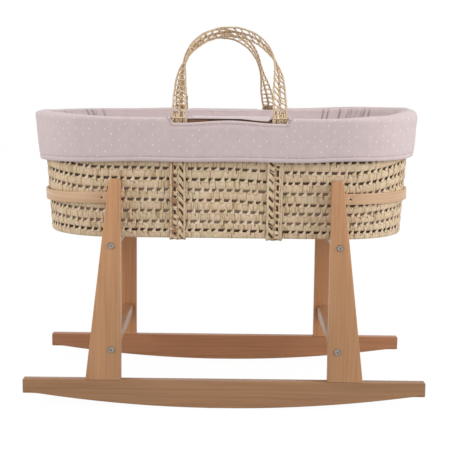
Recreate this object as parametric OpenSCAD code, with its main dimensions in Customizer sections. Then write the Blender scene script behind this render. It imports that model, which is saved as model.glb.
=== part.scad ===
// Moses basket on a wooden rocking stand.
// Millimetres. X runs along the rockers, Y across the stand, Z up from the floor.
// The basket lifts off the stand, and each carrying handle swings at the basket rim.

/* [Rockers] */
// Length of each rocker
rocker_length = 816; // [760:2:880]
// Height of a rocker at its middle
rocker_height = 57; // [52:1:66]
// Height of the squared tip at each end
rocker_tip_height = 29; // [25:1:33]
// Radius of the bowed underside
rocker_radius = 2650; // [2500:10:2900]
// Length of the flat sole in the middle of the underside
rocker_sole = 60; // [30:2:90]
// Radius that blends the bow into the tip
rocker_blend = 150; // [80:5:200]
// Thickness of the boards that the rockers and legs are cut from
board_thickness = 20; // [18:0.5:24]
// Bevel on the board edges
edge_ease = 1.5; // [0.5:0.25:2.5]

/* [Legs] */
// Length of a leg above its rocker
leg_length = 408; // [395:1:430]
// Distance of the upright leg edge inside the start of the bend in the band
leg_setback = 15; // [8:1:30]
// Leg width at the foot
leg_foot_width = 72; // [60:1:84]
// Leg width at the top
leg_top_width = 23; // [20:1:34]
// Rounding of the top corners of a leg
leg_corner = 7; // [3:0.5:9]

/* [Rails] */
// Rail width
rail_width = 22; // [20:1:26]
// Rail height
rail_height = 24; // [22:1:30]
// Rounding along the rail edges
rail_round = 4; // [1:0.5:6]
// Distance of the rail from the upright leg edge
rail_inset = 8; // [4:1:12]
// Distance of the upper rail centre below the leg top, which sets the basket height
upper_rail_drop = 133; // [127:1:147]
// Height of the lower rail centre
lower_rail_z = 120; // [105:1:160]

/* [Fasteners] */
// Bolt shank diameter
bolt_diameter = 6; // [5:0.5:7]
// Bolt shank length under the head
bolt_length = 58; // [52:1:70]
// Bolt head diameter
bolt_head_diameter = 14; // [12:0.5:18]
// Bolt head thickness
bolt_head_height = 2.2; // [1.5:0.1:3.5]
// Hexagon socket width across flats
bolt_socket = 4; // [3:0.5:5]
// Cross nut diameter
nut_diameter = 10; // [9:0.5:12]
// Cross nut length
nut_length = 14; // [12:0.5:16]
// Distance of the cross nut from the rail end
nut_setback = 30; // [24:1:32]
// Rail dowel diameter
rail_dowel_diameter = 6; // [4:0.5:6]
// Rail dowel length
rail_dowel_length = 24; // [16:1:30]
// Height of the rail dowel below the bolt
rail_dowel_drop = 7.5; // [7:0.25:8]
// Leg dowel diameter
leg_dowel_diameter = 10; // [8:0.5:12]
// Leg dowel length
leg_dowel_length = 50; // [30:1:60]
// Distance between the two dowels under a leg
leg_dowel_spacing = 36; // [26:1:42]
// Diametral clearance of pins in their holes
hole_clearance = 0.2; // [0.1:0.05:0.4]

/* [End bands] */
// Height of the bent band
band_height = 22; // [16:1:28]
// Thickness of the bent band
band_thickness = 5; // [3.5:0.5:7]
// Distance of the upper edge of the band below the leg top
band_drop = 26.5; // [12:0.5:40]
// Clearance between the band and the basket
band_clearance = 0.3; // [0.2:0.1:2]
// Droop of the left band towards its free end, in degrees
left_band_droop = 2.8; // [0:0.1:4]
// Droop of the right band towards its free end, in degrees
right_band_droop = 0; // [0:0.1:4]
// Screw head diameter at the leg
screw_head_diameter = 7; // [6:0.5:8]
// Screw shank diameter
screw_diameter = 3.5; // [3:0.25:4]
// Screw length
screw_length = 18; // [12:1:20]
// Turn of the tack round the corner of the band
tack_angle = 9; // [8:0.5:16]
// Tack head diameter
tack_head_diameter = 4; // [3:0.25:5]
// Tack shank diameter
tack_diameter = 1.8; // [1.2:0.1:2.4]
// Tack head height
tack_head_height = 0.8; // [0.5:0.1:1.5]

/* [Basket] */
// Length of the woven base
base_length = 740; // [700:2:780]
// Width of the woven base
base_width = 348; // [330:2:380]
// Corner radius of the woven base
base_corner = 146; // [130:1:154]
// Height of the woven wall
wall_height = 240; // [220:1:260]
// Outward lean of the wall between base and rim
wall_flare = 16; // [8:1:24]
// Thickness of the woven wall
wall_thickness = 9; // [7:0.5:12]
// Number of coiled rows in the wall
row_count = 12; // [8:1:16]
// Depth of the groove between two rows
row_groove = 2.5; // [0.5:0.25:4]
// Thickness of the woven base
base_thickness = 8; // [6:0.5:12]
// Clearance between woven pieces and what they rest on
seat_gap = 0.3; // [0.2:0.1:0.6]

/* [Liner] */
// Thickness of the padded lining
lining_thickness = 8; // [6:0.5:12]
// Depth of the gathers in the lining at the rim
gather_depth = 4; // [1:0.5:6]
// Gathers in each corner of the lining
gathers_per_corner = 6; // [3:1:8]
// Thickness of the floor sheet
floor_thickness = 3; // [2:0.5:5]
// Thickness of the skirt
skirt_thickness = 6; // [4:0.5:7]
// Distance from the rim of the wall down to the hem
skirt_drop = 84; // [60:1:96]
// Distance of the skirt from the wall at the rim
skirt_standoff = 18; // [14:0.5:26]
// Inward lean of the skirt between rim and hem
skirt_lean = 12.5; // [4:0.5:12.5]
// Height of the padded fold over the rim
fold_height = 12; // [8:0.5:16]
// Depth of the hem seam in the skirt
hem_seam = 0.8; // [0.4:0.1:1.5]
// Height of the hem seam above the hem
hem_height = 9; // [6:0.5:14]
// Margin of the handle slot beyond each handle foot
slot_margin = 5.5; // [4:0.5:14]
// Depth of the handle slot below the rim of the wall
slot_depth = 6; // [5:0.5:10]
// Radius of the binding along the slot
binding_radius = 3; // [2:0.25:3.5]

/* [Mattress] */
// Thickness of the mattress at its side
mattress_height = 30; // [20:1:45]
// Rise of the mattress crown above its side
mattress_crown = 9; // [3:0.5:14]
// Clearance round the mattress
mattress_gap = 0.5; // [0.3:0.1:3]

/* [Straps and handles] */
// Distance between the two carrying straps
strap_spacing = 194; // [160:2:230]
// Width of a carrying strap
strap_width = 32; // [26:1:40]
// Thickness of a carrying strap
strap_thickness = 4.5; // [3:0.25:6]
// Width of a handle
handle_width = 29; // [22:1:36]
// Thickness of a handle
handle_thickness = 4.5; // [3:0.25:6]
// Distance of each handle foot outside the middle of its strap
handle_splay = 3; // [0:0.5:6]
// Length of the front handle from rim to crown
front_handle_length = 249; // [235:1:270]
// Length of the back handle from rim to crown
back_handle_length = 247; // [235:1:270]
// Straight stretch of a handle before its arch starts
handle_straight = 110; // [60:1:120]
// Squareness of the handle arch
handle_power = 2.05; // [2:0.05:3.2]
// Shift of the front handle and its slot to the right
front_handle_shift = 5; // [-6:0.5:6]
// Shift of the back handle and its slot to the right
back_handle_shift = -5; // [-6:0.5:6]
// Sway of the front crown to the left of its feet
front_handle_sway = 0; // [-10:1:20]
// Sway of the back crown to the left of its feet
back_handle_sway = 8; // [-10:1:20]
// How far each side of the front handle draws in towards its crown
front_handle_draw_in = 0; // [0:1:20]
// How far each side of the back handle draws in towards its crown
back_handle_draw_in = 13; // [0:1:20]
// Share of the front handle's height where it stands on edge
front_handle_turn = 0.95; // [0.6:0.05:1]
// Share of the back handle's height where it stands on edge
back_handle_turn = 0.6; // [0.6:0.05:1]
// Gap between the two handles where they lean together
handle_gap = 0.5; // [0.3:0.1:4]

/* [Hidden] */
$fn = 96;

// Corner centres that every oval of the basket, liner and bands is drawn round
corner_r = min(base_corner, base_width / 2 - 1);
oval_x = base_length / 2 - corner_r;
oval_y = base_width / 2 - corner_r;
leg_inner_x = oval_x - leg_setback;

// Heights from the floor up
leg_top_z = rocker_height + leg_length;
band_z = leg_top_z - band_drop - band_height;
upper_rail_z = leg_top_z - upper_rail_drop;
basket_z = upper_rail_z + rail_height / 2 + seat_gap;
rim_z = basket_z + wall_height;
floor_z = basket_z + base_thickness;
mattress_z = floor_z + floor_thickness;
hem_z = rim_z - skirt_drop;
slot_z = rim_z - slot_depth;
fold_top_z = rim_z + fold_height;

// Radius of the wall's outer face about the corner centres at height z
function wall_r(z) = corner_r + wall_flare * (z - basket_z) / wall_height;
// Radius of the wall's inner face at height z
function wall_in_r(z) = wall_r(z) - wall_thickness;

// Bands hug the basket, and the legs stand flat against the bands
band_in_r = wall_r(band_z + band_height) + band_clearance;
band_out_r = band_in_r + band_thickness;
leg_face_y = oval_y + band_out_r;
leg_mid_y = leg_face_y + board_thickness / 2;
leg_front_y = leg_face_y + board_thickness;
leg_taper = (leg_foot_width - leg_top_width) / leg_length;
band_mid_z = band_z + band_height / 2;
screw_x = (leg_inner_x + oval_x) / 2 + 1;

// Rails and their fasteners
rail_x = leg_inner_x + rail_inset + rail_width / 2;
rail_heights = [upper_rail_z, lower_rail_z];
rail_dowel_hole = rail_dowel_diameter + hole_clearance;

// Underside of a rocker: a bow, a tip and the blend between them
bow_z = sqrt(rocker_radius * rocker_radius - rocker_sole * rocker_sole / 4);
tip_z = rocker_height - rocker_tip_height;
blend_z = tip_z - rocker_blend;
blend_x = sqrt(pow(rocker_radius + rocker_blend, 2) - pow(bow_z - blend_z, 2));
bow_share = rocker_radius / (rocker_radius + rocker_blend);
bow_end_x = blend_x * bow_share;
bow_end_z = bow_z - (bow_z - blend_z) * bow_share;

// Skirt and lining radii
lining_in_r = wall_in_r(rim_z) - seat_gap - lining_thickness;
skirt_top_r = wall_r(rim_z) + skirt_standoff;
skirt_hem_r = skirt_top_r - skirt_lean;
handle_half = strap_spacing / 2 + handle_splay;
slot_half = handle_half + handle_width / 2 + slot_margin;
function skirt_r(z) = skirt_hem_r + skirt_lean * (z - hem_z) / skirt_drop;

// Handle pivots at the rim, and the lean that brings the two crowns together
strap_r = wall_r(rim_z) + seat_gap + strap_thickness / 2;
pivot_y = oval_y + strap_r;
pivot_z = rim_z + handle_thickness / 2 + seat_gap;
crown_y = handle_width * 0.34 + handle_thickness / 2 + handle_gap;
function handle_lean(length) = asin((pivot_y - crown_y) / length);

// Outline of a rounded oval about the shared corner centres
module oval(r) {
    square([2 * (oval_x + r), 2 * oval_y], center = true);
    square([2 * oval_x, 2 * (oval_y + r)], center = true);
    for (sx = [-1, 1], sy = [-1, 1])
        translate([sx * oval_x, sy * oval_y])
            circle(r);
}

// Sweeps a profile of radius and height round the shared corner centres
module oval_sweep() {
    for (k = [0 : 3])
        translate([(k == 0 || k == 3 ? 1 : -1) * oval_x, (k < 2 ? 1 : -1) * oval_y])
            rotate(90 * k)
                rotate_extrude(angle = 90)
                    children();
    for (m = [0, 1])
        mirror([0, m, 0])
            translate([-oval_x, oval_y])
                rotate([90, 0, 90])
                    linear_extrude(2 * oval_x)
                        children();
    for (m = [0, 1])
        mirror([m, 0, 0])
            translate([oval_x, oval_y])
                rotate([90, 0, 0])
                    linear_extrude(2 * oval_y)
                        children();
}

// Rocker outline in length and height
module rocker_outline() {
    intersection() {
        translate([0, bow_z])
            circle(rocker_radius, $fn = 720);
        translate([-blend_x, 0])
            square([2 * blend_x, rocker_height]);
    }
    for (m = [0, 1])
        mirror([m, 0]) {
            translate([bow_end_x, tip_z])
                square([rocker_length / 2 - bow_end_x, rocker_tip_height]);
            difference() {
                polygon([
                    [bow_end_x, bow_end_z],
                    [blend_x, tip_z],
                    [blend_x, tip_z + 4],
                    [bow_end_x, tip_z + 4]
                ]);
                translate([blend_x, blend_z])
                    circle(rocker_blend, $fn = 360);
            }
        }
}

// One rocker, centred on its own thickness
module rocker() {
    bevel = edge_ease * sqrt(2);
    difference() {
        rotate([90, 0, 0])
            linear_extrude(board_thickness, center = true)
                rocker_outline();
        for (s = [-1, 1]) {
            translate([0, s * board_thickness / 2, rocker_height])
                rotate([45, 0, 0])
                    cube([rocker_length + 2, bevel, bevel], center = true);
            translate([0, s * board_thickness / 2, bow_z])
                rotate([90, 0, 0])
                    rotate_extrude($fn = 720)
                        translate([rocker_radius, 0])
                            rotate(45)
                                square(bevel, center = true);
            translate([s * rocker_length / 2, 0, rocker_height])
                rotate([0, 45, 0])
                    cube([bevel, board_thickness + 2, bevel], center = true);
            translate([s * rocker_length / 2, 0, tip_z])
                rotate([0, 45, 0])
                    cube([bevel, board_thickness + 2, bevel], center = true);
        }
        for (s = [-1, 1])
            leg_dowel_places(s)
                cylinder(d = leg_dowel_diameter + hole_clearance, h = leg_dowel_length + 1, center = true);
    }
}

// Places of the two dowels under one leg, on the joint of leg and rocker
module leg_dowel_places(side) {
    for (k = [-1, 1])
        translate([side * (leg_inner_x + leg_foot_width / 2 + k * leg_dowel_spacing / 2), 0, rocker_height])
            children();
}

// Leg outline, with its upright edge at x = 0 and its foot at y = 0
module leg_outline() {
    lean = atan(leg_taper);
    corner_y = leg_length - leg_corner;
    outer_x = leg_foot_width - leg_taper * corner_y - leg_corner / cos(lean);
    hull() {
        square([leg_foot_width, 0.01]);
        translate([leg_corner, corner_y])
            circle(leg_corner, $fn = 40);
        translate([outer_x, corner_y])
            circle(leg_corner, $fn = 40);
    }
}

// One leg on its rocker, for side -1 or 1 along X and end -1 or 1 across Y
module leg(side, end) {
    difference() {
        translate([side * leg_inner_x, end * leg_mid_y, rocker_height])
            mirror([side < 0 ? 1 : 0, 0, 0])
                rotate([90, 0, 0])
                    translate([0, 0, -board_thickness / 2])
                        hull() {
                            linear_extrude(board_thickness)
                                intersection() {
                                    offset(delta = -edge_ease)
                                        leg_outline();
                                    translate([0, edge_ease])
                                        square([leg_foot_width, leg_length]);
                                }
                            translate([edge_ease, 0])
                                cube([leg_foot_width - 2 * edge_ease, 1, board_thickness]);
                            translate([0, 0, edge_ease])
                                linear_extrude(board_thickness - 2 * edge_ease)
                                    leg_outline();
                        }
        for (z = rail_heights) {
            translate([side * rail_x, end * leg_mid_y, z])
                rotate([90, 0, 0])
                    cylinder(d = bolt_diameter + hole_clearance, h = board_thickness + 2, center = true);
            translate([side * rail_x, end * leg_face_y, z - rail_dowel_drop])
                rotate([90, 0, 0])
                    cylinder(d = rail_dowel_hole, h = rail_dowel_length + 1, center = true);
        }
        translate([0, end * leg_mid_y, 0])
            leg_dowel_places(side)
                cylinder(d = leg_dowel_diameter + hole_clearance, h = leg_dowel_length + 1, center = true);
        translate([side * screw_x, end * leg_face_y, band_mid_z])
            rotate([90, 0, 0])
                cylinder(
                    d = screw_diameter + hole_clearance,
                    h = 2 * (screw_length - band_thickness) + 1,
                    center = true
                );
    }
}

// One rail between the front and back legs
module rail(side, z) {
    difference() {
        translate([side * rail_x, leg_face_y, z])
            rotate([90, 0, 0])
                linear_extrude(2 * leg_face_y) {
                    square([rail_width - 2 * rail_round, rail_height], center = true);
                    square([rail_width, rail_height - 2 * rail_round], center = true);
                    for (sx = [-1, 1], sy = [-1, 1])
                        translate([sx * (rail_width / 2 - rail_round), sy * (rail_height / 2 - rail_round)])
                            circle(rail_round);
                }
        for (end = [-1, 1]) {
            translate([side * rail_x, end * leg_face_y, z])
                rotate([90, 0, 0])
                    cylinder(
                        d = bolt_diameter + hole_clearance,
                        h = 2 * (bolt_length - board_thickness) + 2,
                        center = true
                    );
            translate([side * (rail_x + rail_width / 2), end * (leg_face_y - nut_setback), z])
                rotate([0, 90, 0])
                    cylinder(d = nut_diameter + hole_clearance, h = nut_depth() * 2, center = true);
            translate([side * rail_x, end * leg_face_y, z - rail_dowel_drop])
                rotate([90, 0, 0])
                    cylinder(d = rail_dowel_hole, h = rail_dowel_length + 1, center = true);
        }
    }
}

// Depth of the blind hole that holds a cross nut, centred on the bolt
function nut_depth() = rail_width / 2 + nut_length / 2;

// Places of every rail end: side, end and height
module rail_ends() {
    for (side = [-1, 1], end = [-1, 1], z = rail_heights)
        translate([side * rail_x, end * leg_face_y, z])
            rotate(end < 0 ? 0 : 180)
                children();
}

// Turns a band about the line of its two screws, so that its free end droops
module band_droop(side) {
    translate([side * screw_x, 0, band_mid_z])
        rotate([0, side * (side < 0 ? left_band_droop : right_band_droop), 0])
            translate([-side * screw_x, 0, -band_mid_z])
                children();
}

// Bent band round one end of the basket
module end_band(side) {
    difference() {
        band_droop(side)
            translate([0, 0, band_z])
                linear_extrude(band_height)
                    difference() {
                        oval(band_out_r);
                        oval(band_in_r);
                        translate([side > 0 ? -base_length : -leg_inner_x - edge_ease, -base_width])
                            square([base_length + leg_inner_x + edge_ease, 2 * base_width]);
                    }
        band_screw_places(side)
            union() {
                cylinder(d = screw_diameter + hole_clearance, h = 3 * band_thickness, center = true);
                translate([0, 0, -0.01])
                    cylinder(
                        d1 = screw_head_diameter + hole_clearance,
                        d2 = screw_diameter + hole_clearance,
                        h = (screw_head_diameter - screw_diameter) / 2
                    );
            }
        band_tack_places(side)
            cylinder(d = tack_diameter + hole_clearance, h = 3 * band_thickness, center = true);
    }
}

// Places of the screws at one end, on the inner face of the band and pointing out into the legs
module band_screw_places(side) {
    for (end = [-1, 1])
        translate([side * screw_x, end * (oval_y + band_in_r), band_mid_z])
            rotate([end < 0 ? 90 : -90, 0, 0])
                children();
}

// Places of the tacks at one end, on the outer face of the band and pointing out
module band_tack_places(side) {
    band_droop(side)
        for (end = [-1, 1])
            translate([side * oval_x, end * oval_y, band_mid_z])
                rotate(end * (90 - side * tack_angle))
                    translate([band_out_r, 0, 0])
                        rotate([0, 90, 0])
                            children();
}

// Profile of the woven wall: rows that bulge outward between grooves
module wall_profile() {
    row = wall_height / row_count;
    outer = [
        for (i = [0 : row_count - 1])
            for (p = [[0, 1], [0.12, 0.3], [0.3, 0], [0.7, 0], [0.88, 0.3]])
                let (z = basket_z + (i + p[0]) * row)
                    [wall_r(z) - p[1] * row_groove, z]
    ];
    polygon(concat(
        outer,
        [[wall_r(rim_z) - row_groove, rim_z], [wall_in_r(rim_z), rim_z], [wall_in_r(basket_z), basket_z]]
    ));
}

// Profile of the skirt: hem, leaning wall and padded fold over the rim
module skirt_profile() {
    under_z = rim_z + seat_gap;
    fold_r = (skirt_top_r + lining_in_r) / 2;
    fold_half = (skirt_top_r - lining_in_r) / 2;
    fold_rise = fold_top_z - under_z;
    dome = [for (a = [0 : 12 : 180]) [fold_r + fold_half * cos(a), under_z + fold_rise * pow(sin(a), 0.8)]];
    polygon(concat(
        [
            [skirt_hem_r - skirt_thickness, hem_z],
            [skirt_hem_r, hem_z],
            [skirt_r(hem_z + hem_height - 1.5), hem_z + hem_height - 1.5],
            [skirt_r(hem_z + hem_height) - hem_seam, hem_z + hem_height],
            [skirt_r(hem_z + hem_height + 1.5), hem_z + hem_height + 1.5]
        ],
        dome,
        [[skirt_top_r - skirt_thickness, under_z]]
    ));
}

// Strap that runs down one side, under the base and up the other side
module carry_strap(side) {
    top_z = rim_z;
    in_rim = oval_y + wall_r(top_z) + seat_gap;
    in_base = oval_y + wall_r(basket_z) + seat_gap;
    t = strap_thickness;
    under = basket_z - seat_gap;
    corner = row_groove;
    half_out = [[in_rim + t, top_z], [in_base + t, under + corner], [in_base - corner + t / 2, under - t]];
    half_in = [[in_base - corner, under], [in_base, under + corner], [in_rim, top_z]];
    translate([side * strap_spacing / 2 - strap_width / 2, 0, 0])
        rotate([90, 0, 90])
            linear_extrude(strap_width)
                polygon(concat(
                    half_out,
                    [for (i = [2 : -1 : 0]) [-half_out[i][0], half_out[i][1]]],
                    [for (i = [2 : -1 : 0]) [-half_in[i][0], half_in[i][1]]],
                    half_in
                ));
}

// Points of a rounded oval in corner order, with the radius taken from a list
corner_points = gathers_per_corner * 4 + 1;
function oval_ring(radii, z) = [
    for (k = [0 : 3], i = [0 : corner_points - 1])
        let (a = 90 * k + 90 * i / (corner_points - 1), r = radii[i])
            [
                (k == 0 || k == 3 ? 1 : -1) * oval_x + r * cos(a),
                (k < 2 ? 1 : -1) * oval_y + r * sin(a),
                z
            ]
];
function even(r) = [for (i = [0 : corner_points - 1]) r];
function gathered(r, depth) = [
    for (i = [0 : corner_points - 1])
        r - depth * (0.5 - 0.5 * cos(360 * i / 4))
];

// Padded lining with gathers round each corner, deepest at the rim
module lining() {
    low = mattress_z;
    out_low = wall_in_r(low) - seat_gap;
    out_top = wall_in_r(rim_z) - seat_gap;
    in_low = out_low - lining_thickness + gather_depth / 2;
    rings = [
        oval_ring(even(out_low), low),
        oval_ring(even(out_top), rim_z),
        oval_ring(gathered(out_top - lining_thickness + gather_depth, gather_depth), rim_z),
        oval_ring(gathered(in_low, gather_depth / 2), low)
    ];
    n = 4 * corner_points;
    polyhedron(
        points = concat(rings[0], rings[1], rings[2], rings[3]),
        faces = [
            for (k = [0 : 3], i = [0 : n - 1], half = [0, 1])
                let (a = k * n, b = (k + 1) % 4 * n, j = (i + 1) % n)
                    half == 0 ? [a + i, b + i, b + j] : [a + i, b + j, a + j]
        ]
    );
}

// Crowned mattress in the oval of the lining
mattress_r = wall_in_r(mattress_z) - seat_gap - lining_thickness - mattress_gap;
module mattress_profile() {
    h = mattress_height;
    c = mattress_crown;
    e = h * 0.3;
    r = mattress_r;
    crown = [for (a = [15 : 15 : 90]) [(r - e) * cos(a), h + c * sin(a)]];
    polygon(concat(
        [[0, 0], [r - e, 0], [r - e * 0.3, e * 0.3], [r, e]],
        [[r - 1, h / 2], [r, h - e], [r - e * 0.3, h - e * 0.3], [r - e, h]],
        crown
    ));
}

// Handle path in its own plane: uprights at the feet and an arch between, drawn in and swayed to the left
arch_steps = 18;
foot_steps = 8;
sway_share = 0.6;
function arch_point(a, length) = [
    handle_half * sign(cos(a)) * pow(abs(cos(a)), 2 / handle_power),
    handle_straight + (length - handle_straight) * pow(abs(sin(a)), 2 / handle_power)
];
function ramp(t) = t <= 0 ? 0 : t >= 1 ? 1 : t * t * (3 - 2 * t);
function swayed(p, length, sway, draw_in) =
    let (share = ramp(p[1] / length / sway_share))
        [p[0] * (1 - share * draw_in / handle_half) - share * sway, p[1]];
function handle_path(length, sway, draw_in) = [
    for (p = concat(
        [for (i = [0 : foot_steps - 1]) [handle_half, handle_straight * i / foot_steps]],
        [for (i = [0 : 2 * arch_steps]) arch_point(90 * i / arch_steps, length)],
        [for (i = [foot_steps - 1 : -1 : 0]) [-handle_half, handle_straight * i / foot_steps]]
    ))
        swayed(p, length, sway, draw_in)
];
// Turn of the strap about its own run: flat at the feet, square to the arch at the crown
function handle_turn(h, length, turn_share) = 90 * ramp(h / length / turn_share);

// Ring of eight points round the strap at one point of the path
function strap_ring(p, along, turn) =
    let (
        w = handle_width / 2,
        t = handle_thickness / 2,
        c = handle_thickness / 4,
        across = [along[1], -along[0]],
        upper = [[w, t - c], [w - c, t], [c - w, t], [-w, t - c]],
        flat = concat(upper, -upper)
    ) [
        for (q = flat)
            let (u = q[0] * cos(turn) - q[1] * sin(turn), v = q[0] * sin(turn) + q[1] * cos(turn))
                [p[0] + u * across[0], v, p[1] + u * across[1]]
    ];

// One handle, upright above the X axis
module handle(length, sway, draw_in, turn_share) {
    path = handle_path(length, sway, draw_in);
    n = len(path);
    runs = [
        for (i = [0 : n - 1])
            let (d = path[min(i + 1, n - 1)] - path[max(i - 1, 0)])
                d / norm(d)
    ];
    turns = [for (p = path) handle_turn(p[1], length, turn_share)];
    points = [for (i = [0 : n - 1]) each strap_ring(path[i], runs[i], turns[i])];
    polyhedron(
        points = points,
        faces = concat(
            [[for (k = [0 : 7]) k]],
            [
                for (i = [0 : n - 2], k = [0 : 7], half = [0, 1])
                    let (a = 8 * i, b = 8 * (i + 1), j = (k + 1) % 8)
                        half == 0 ? [a + k, b + k, b + j] : [a + k, b + j, a + j]
            ],
            [[for (k = [7 : -1 : 0]) 8 * (n - 1) + k]]
        )
    );
    for (s = [-1, 1])
        translate([s * handle_half, 0, 0])
            rotate([0, 90, 0])
                cylinder(d = handle_thickness, h = handle_width, center = true);
}

// Half round binding along the cut edge of the skirt
module slot_binding(shift) {
    length = 2 * slot_half - 2 * seat_gap;
    translate([shift - length / 2, oval_y + skirt_r(slot_z) - skirt_thickness / 2, slot_z])
        rotate([90, 0, 90])
            linear_extrude(length)
                intersection() {
                    circle(binding_radius);
                    translate([-binding_radius, 0])
                        square(2 * binding_radius);
                }
}

module front_rocker() { color("peru") translate([0, -leg_mid_y, 0]) rocker(); }
module back_rocker() { color("peru") translate([0, leg_mid_y, 0]) rocker(); }
module front_left_leg() { color("burlywood") leg(-1, -1); }
module front_right_leg() { color("burlywood") leg(1, -1); }
module back_left_leg() { color("burlywood") leg(-1, 1); }
module back_right_leg() { color("burlywood") leg(1, 1); }
module left_upper_rail() { color("sandybrown") rail(-1, upper_rail_z); }
module right_upper_rail() { color("sandybrown") rail(1, upper_rail_z); }
module left_lower_rail() { color("sandybrown") rail(-1, lower_rail_z); }
module right_lower_rail() { color("sandybrown") rail(1, lower_rail_z); }
module left_end_band() { color("wheat") end_band(-1); }
module right_end_band() { color("wheat") end_band(1); }

// Flat headed bolts through the legs into the rails
module rail_bolts() {
    color("silver")
        rail_ends()
            translate([0, -board_thickness, 0])
                rotate([90, 0, 0])
                    difference() {
                        union() {
                            translate([0, 0, -bolt_length])
                                cylinder(d = bolt_diameter, h = bolt_length);
                            cylinder(
                                d1 = bolt_head_diameter,
                                d2 = bolt_head_diameter - bolt_head_height,
                                h = bolt_head_height
                            );
                        }
                        translate([0, 0, -1])
                            cylinder(d = bolt_socket / cos(30), h = bolt_head_height + 2, $fn = 6);
                    }
}

// Cross nuts in the rails, each drilled for its bolt
module cross_nuts() {
    color("gray")
        rail_ends()
            translate([0, nut_setback, 0])
                difference() {
                    rotate([0, 90, 0])
                        cylinder(d = nut_diameter, h = nut_length, center = true);
                    rotate([90, 0, 0])
                        cylinder(d = bolt_diameter + hole_clearance, h = 2 * nut_diameter, center = true);
                }
}

// Dowels that stop the rails from turning on their bolts
module rail_dowels() {
    color("tan")
        rail_ends()
            translate([0, 0, -rail_dowel_drop])
                rotate([90, 0, 0])
                    cylinder(d = rail_dowel_diameter, h = rail_dowel_length, center = true);
}

// Dowels between legs and rockers
module leg_dowels() {
    color("tan")
        for (side = [-1, 1], end = [-1, 1])
            translate([0, end * leg_mid_y, 0])
                leg_dowel_places(side)
                    cylinder(d = leg_dowel_diameter, h = leg_dowel_length, center = true);
}

// Countersunk screws from the bands into the legs
module band_screws() {
    color("gray")
        for (side = [-1, 1])
            band_screw_places(side)
                union() {
                    cylinder(d = screw_diameter, h = screw_length);
                    cylinder(
                        d1 = screw_head_diameter,
                        d2 = screw_diameter,
                        h = (screw_head_diameter - screw_diameter) / 2
                    );
                }
}

// Small tacks in the bands beside the legs
module band_tacks() {
    color("dimgray")
        for (side = [-1, 1])
            band_tack_places(side)
                union() {
                    translate([0, 0, -band_thickness])
                        cylinder(d = tack_diameter, h = band_thickness);
                    cylinder(d1 = tack_head_diameter, d2 = tack_head_diameter / 2, h = tack_head_height);
                }
}

module basket_wall() { color("khaki") oval_sweep() wall_profile(); }

// Woven base inside the foot of the wall
module basket_base() {
    color("darkkhaki")
        translate([0, 0, basket_z])
            linear_extrude(base_thickness)
                oval(wall_in_r(basket_z) - seat_gap);
}

module left_carry_strap() { color("goldenrod") carry_strap(-1); }
module right_carry_strap() { color("goldenrod") carry_strap(1); }
module liner_wall() { color("pink") lining(); }

// Sheet between the woven base and the mattress
module liner_floor() {
    color("mistyrose")
        translate([0, 0, floor_z])
            linear_extrude(floor_thickness)
                oval(wall_in_r(floor_z) - seat_gap);
}

// Skirt with a slot for the handles on each long side
module liner_skirt() {
    cut_in = oval_y + lining_in_r + lining_thickness / 2;
    color("lightpink")
        difference() {
            oval_sweep()
                skirt_profile();
            for (m = [0, 1])
                mirror([0, m, 0])
                    translate([(m == 0 ? back_handle_shift : front_handle_shift) - slot_half, cut_in, slot_z])
                        cube([2 * slot_half, skirt_top_r, fold_top_z]);
        }
}

module front_slot_binding() { color("palevioletred") mirror([0, 1, 0]) slot_binding(front_handle_shift); }
module back_slot_binding() { color("palevioletred") slot_binding(back_handle_shift); }

module mattress() {
    color("white")
        translate([0, 0, mattress_z])
            union() {
                oval_sweep()
                    mattress_profile();
                translate([-oval_x, -oval_y, 0])
                    cube([2 * oval_x, 2 * oval_y, mattress_height + mattress_crown]);
            }
}

module front_handle() {
    color("goldenrod")
        translate([front_handle_shift, -pivot_y, pivot_z])
            rotate([-handle_lean(front_handle_length), 0, 0])
                handle(front_handle_length, front_handle_sway, front_handle_draw_in, front_handle_turn);
}

module back_handle() {
    color("goldenrod")
        translate([back_handle_shift, pivot_y, pivot_z])
            rotate([handle_lean(back_handle_length), 0, 0])
                handle(back_handle_length, back_handle_sway, back_handle_draw_in, back_handle_turn);
}

front_rocker();
back_rocker();
front_left_leg();
front_right_leg();
back_left_leg();
back_right_leg();
left_upper_rail();
right_upper_rail();
left_lower_rail();
right_lower_rail();
left_end_band();
right_end_band();
rail_bolts();
cross_nuts();
rail_dowels();
leg_dowels();
band_screws();
band_tacks();
basket_wall();
basket_base();
left_carry_strap();
right_carry_strap();
liner_wall();
liner_floor();
liner_skirt();
front_slot_binding();
back_slot_binding();
mattress();
front_handle();
back_handle();
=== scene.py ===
import math

import bmesh
import bpy
import numpy as np
from mathutils import Matrix


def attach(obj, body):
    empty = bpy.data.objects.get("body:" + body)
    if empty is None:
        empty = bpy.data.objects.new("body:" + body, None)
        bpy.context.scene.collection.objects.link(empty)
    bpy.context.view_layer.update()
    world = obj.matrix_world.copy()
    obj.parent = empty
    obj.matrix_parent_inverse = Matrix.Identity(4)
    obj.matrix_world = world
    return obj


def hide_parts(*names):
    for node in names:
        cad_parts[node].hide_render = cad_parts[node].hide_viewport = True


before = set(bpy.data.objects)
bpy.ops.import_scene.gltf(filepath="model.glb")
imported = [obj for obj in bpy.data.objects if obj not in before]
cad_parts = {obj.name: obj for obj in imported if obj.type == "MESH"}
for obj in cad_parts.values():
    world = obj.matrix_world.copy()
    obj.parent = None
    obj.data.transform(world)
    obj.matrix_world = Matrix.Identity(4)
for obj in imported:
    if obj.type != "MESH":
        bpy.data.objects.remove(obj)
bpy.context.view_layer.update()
scene = bpy.context.scene
scene.view_settings.view_transform = "Standard"
print("frame loaded:", len(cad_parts), "nodes")

# camera, at the place and tilt that the photograph was taken from
view = {"place": (0.0036, -2.45085, 0.69697), "pitch": 8.301, "yaw": -0.048, "roll": 0.661, "lens": 90.06,
        "sensor": 36}


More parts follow.
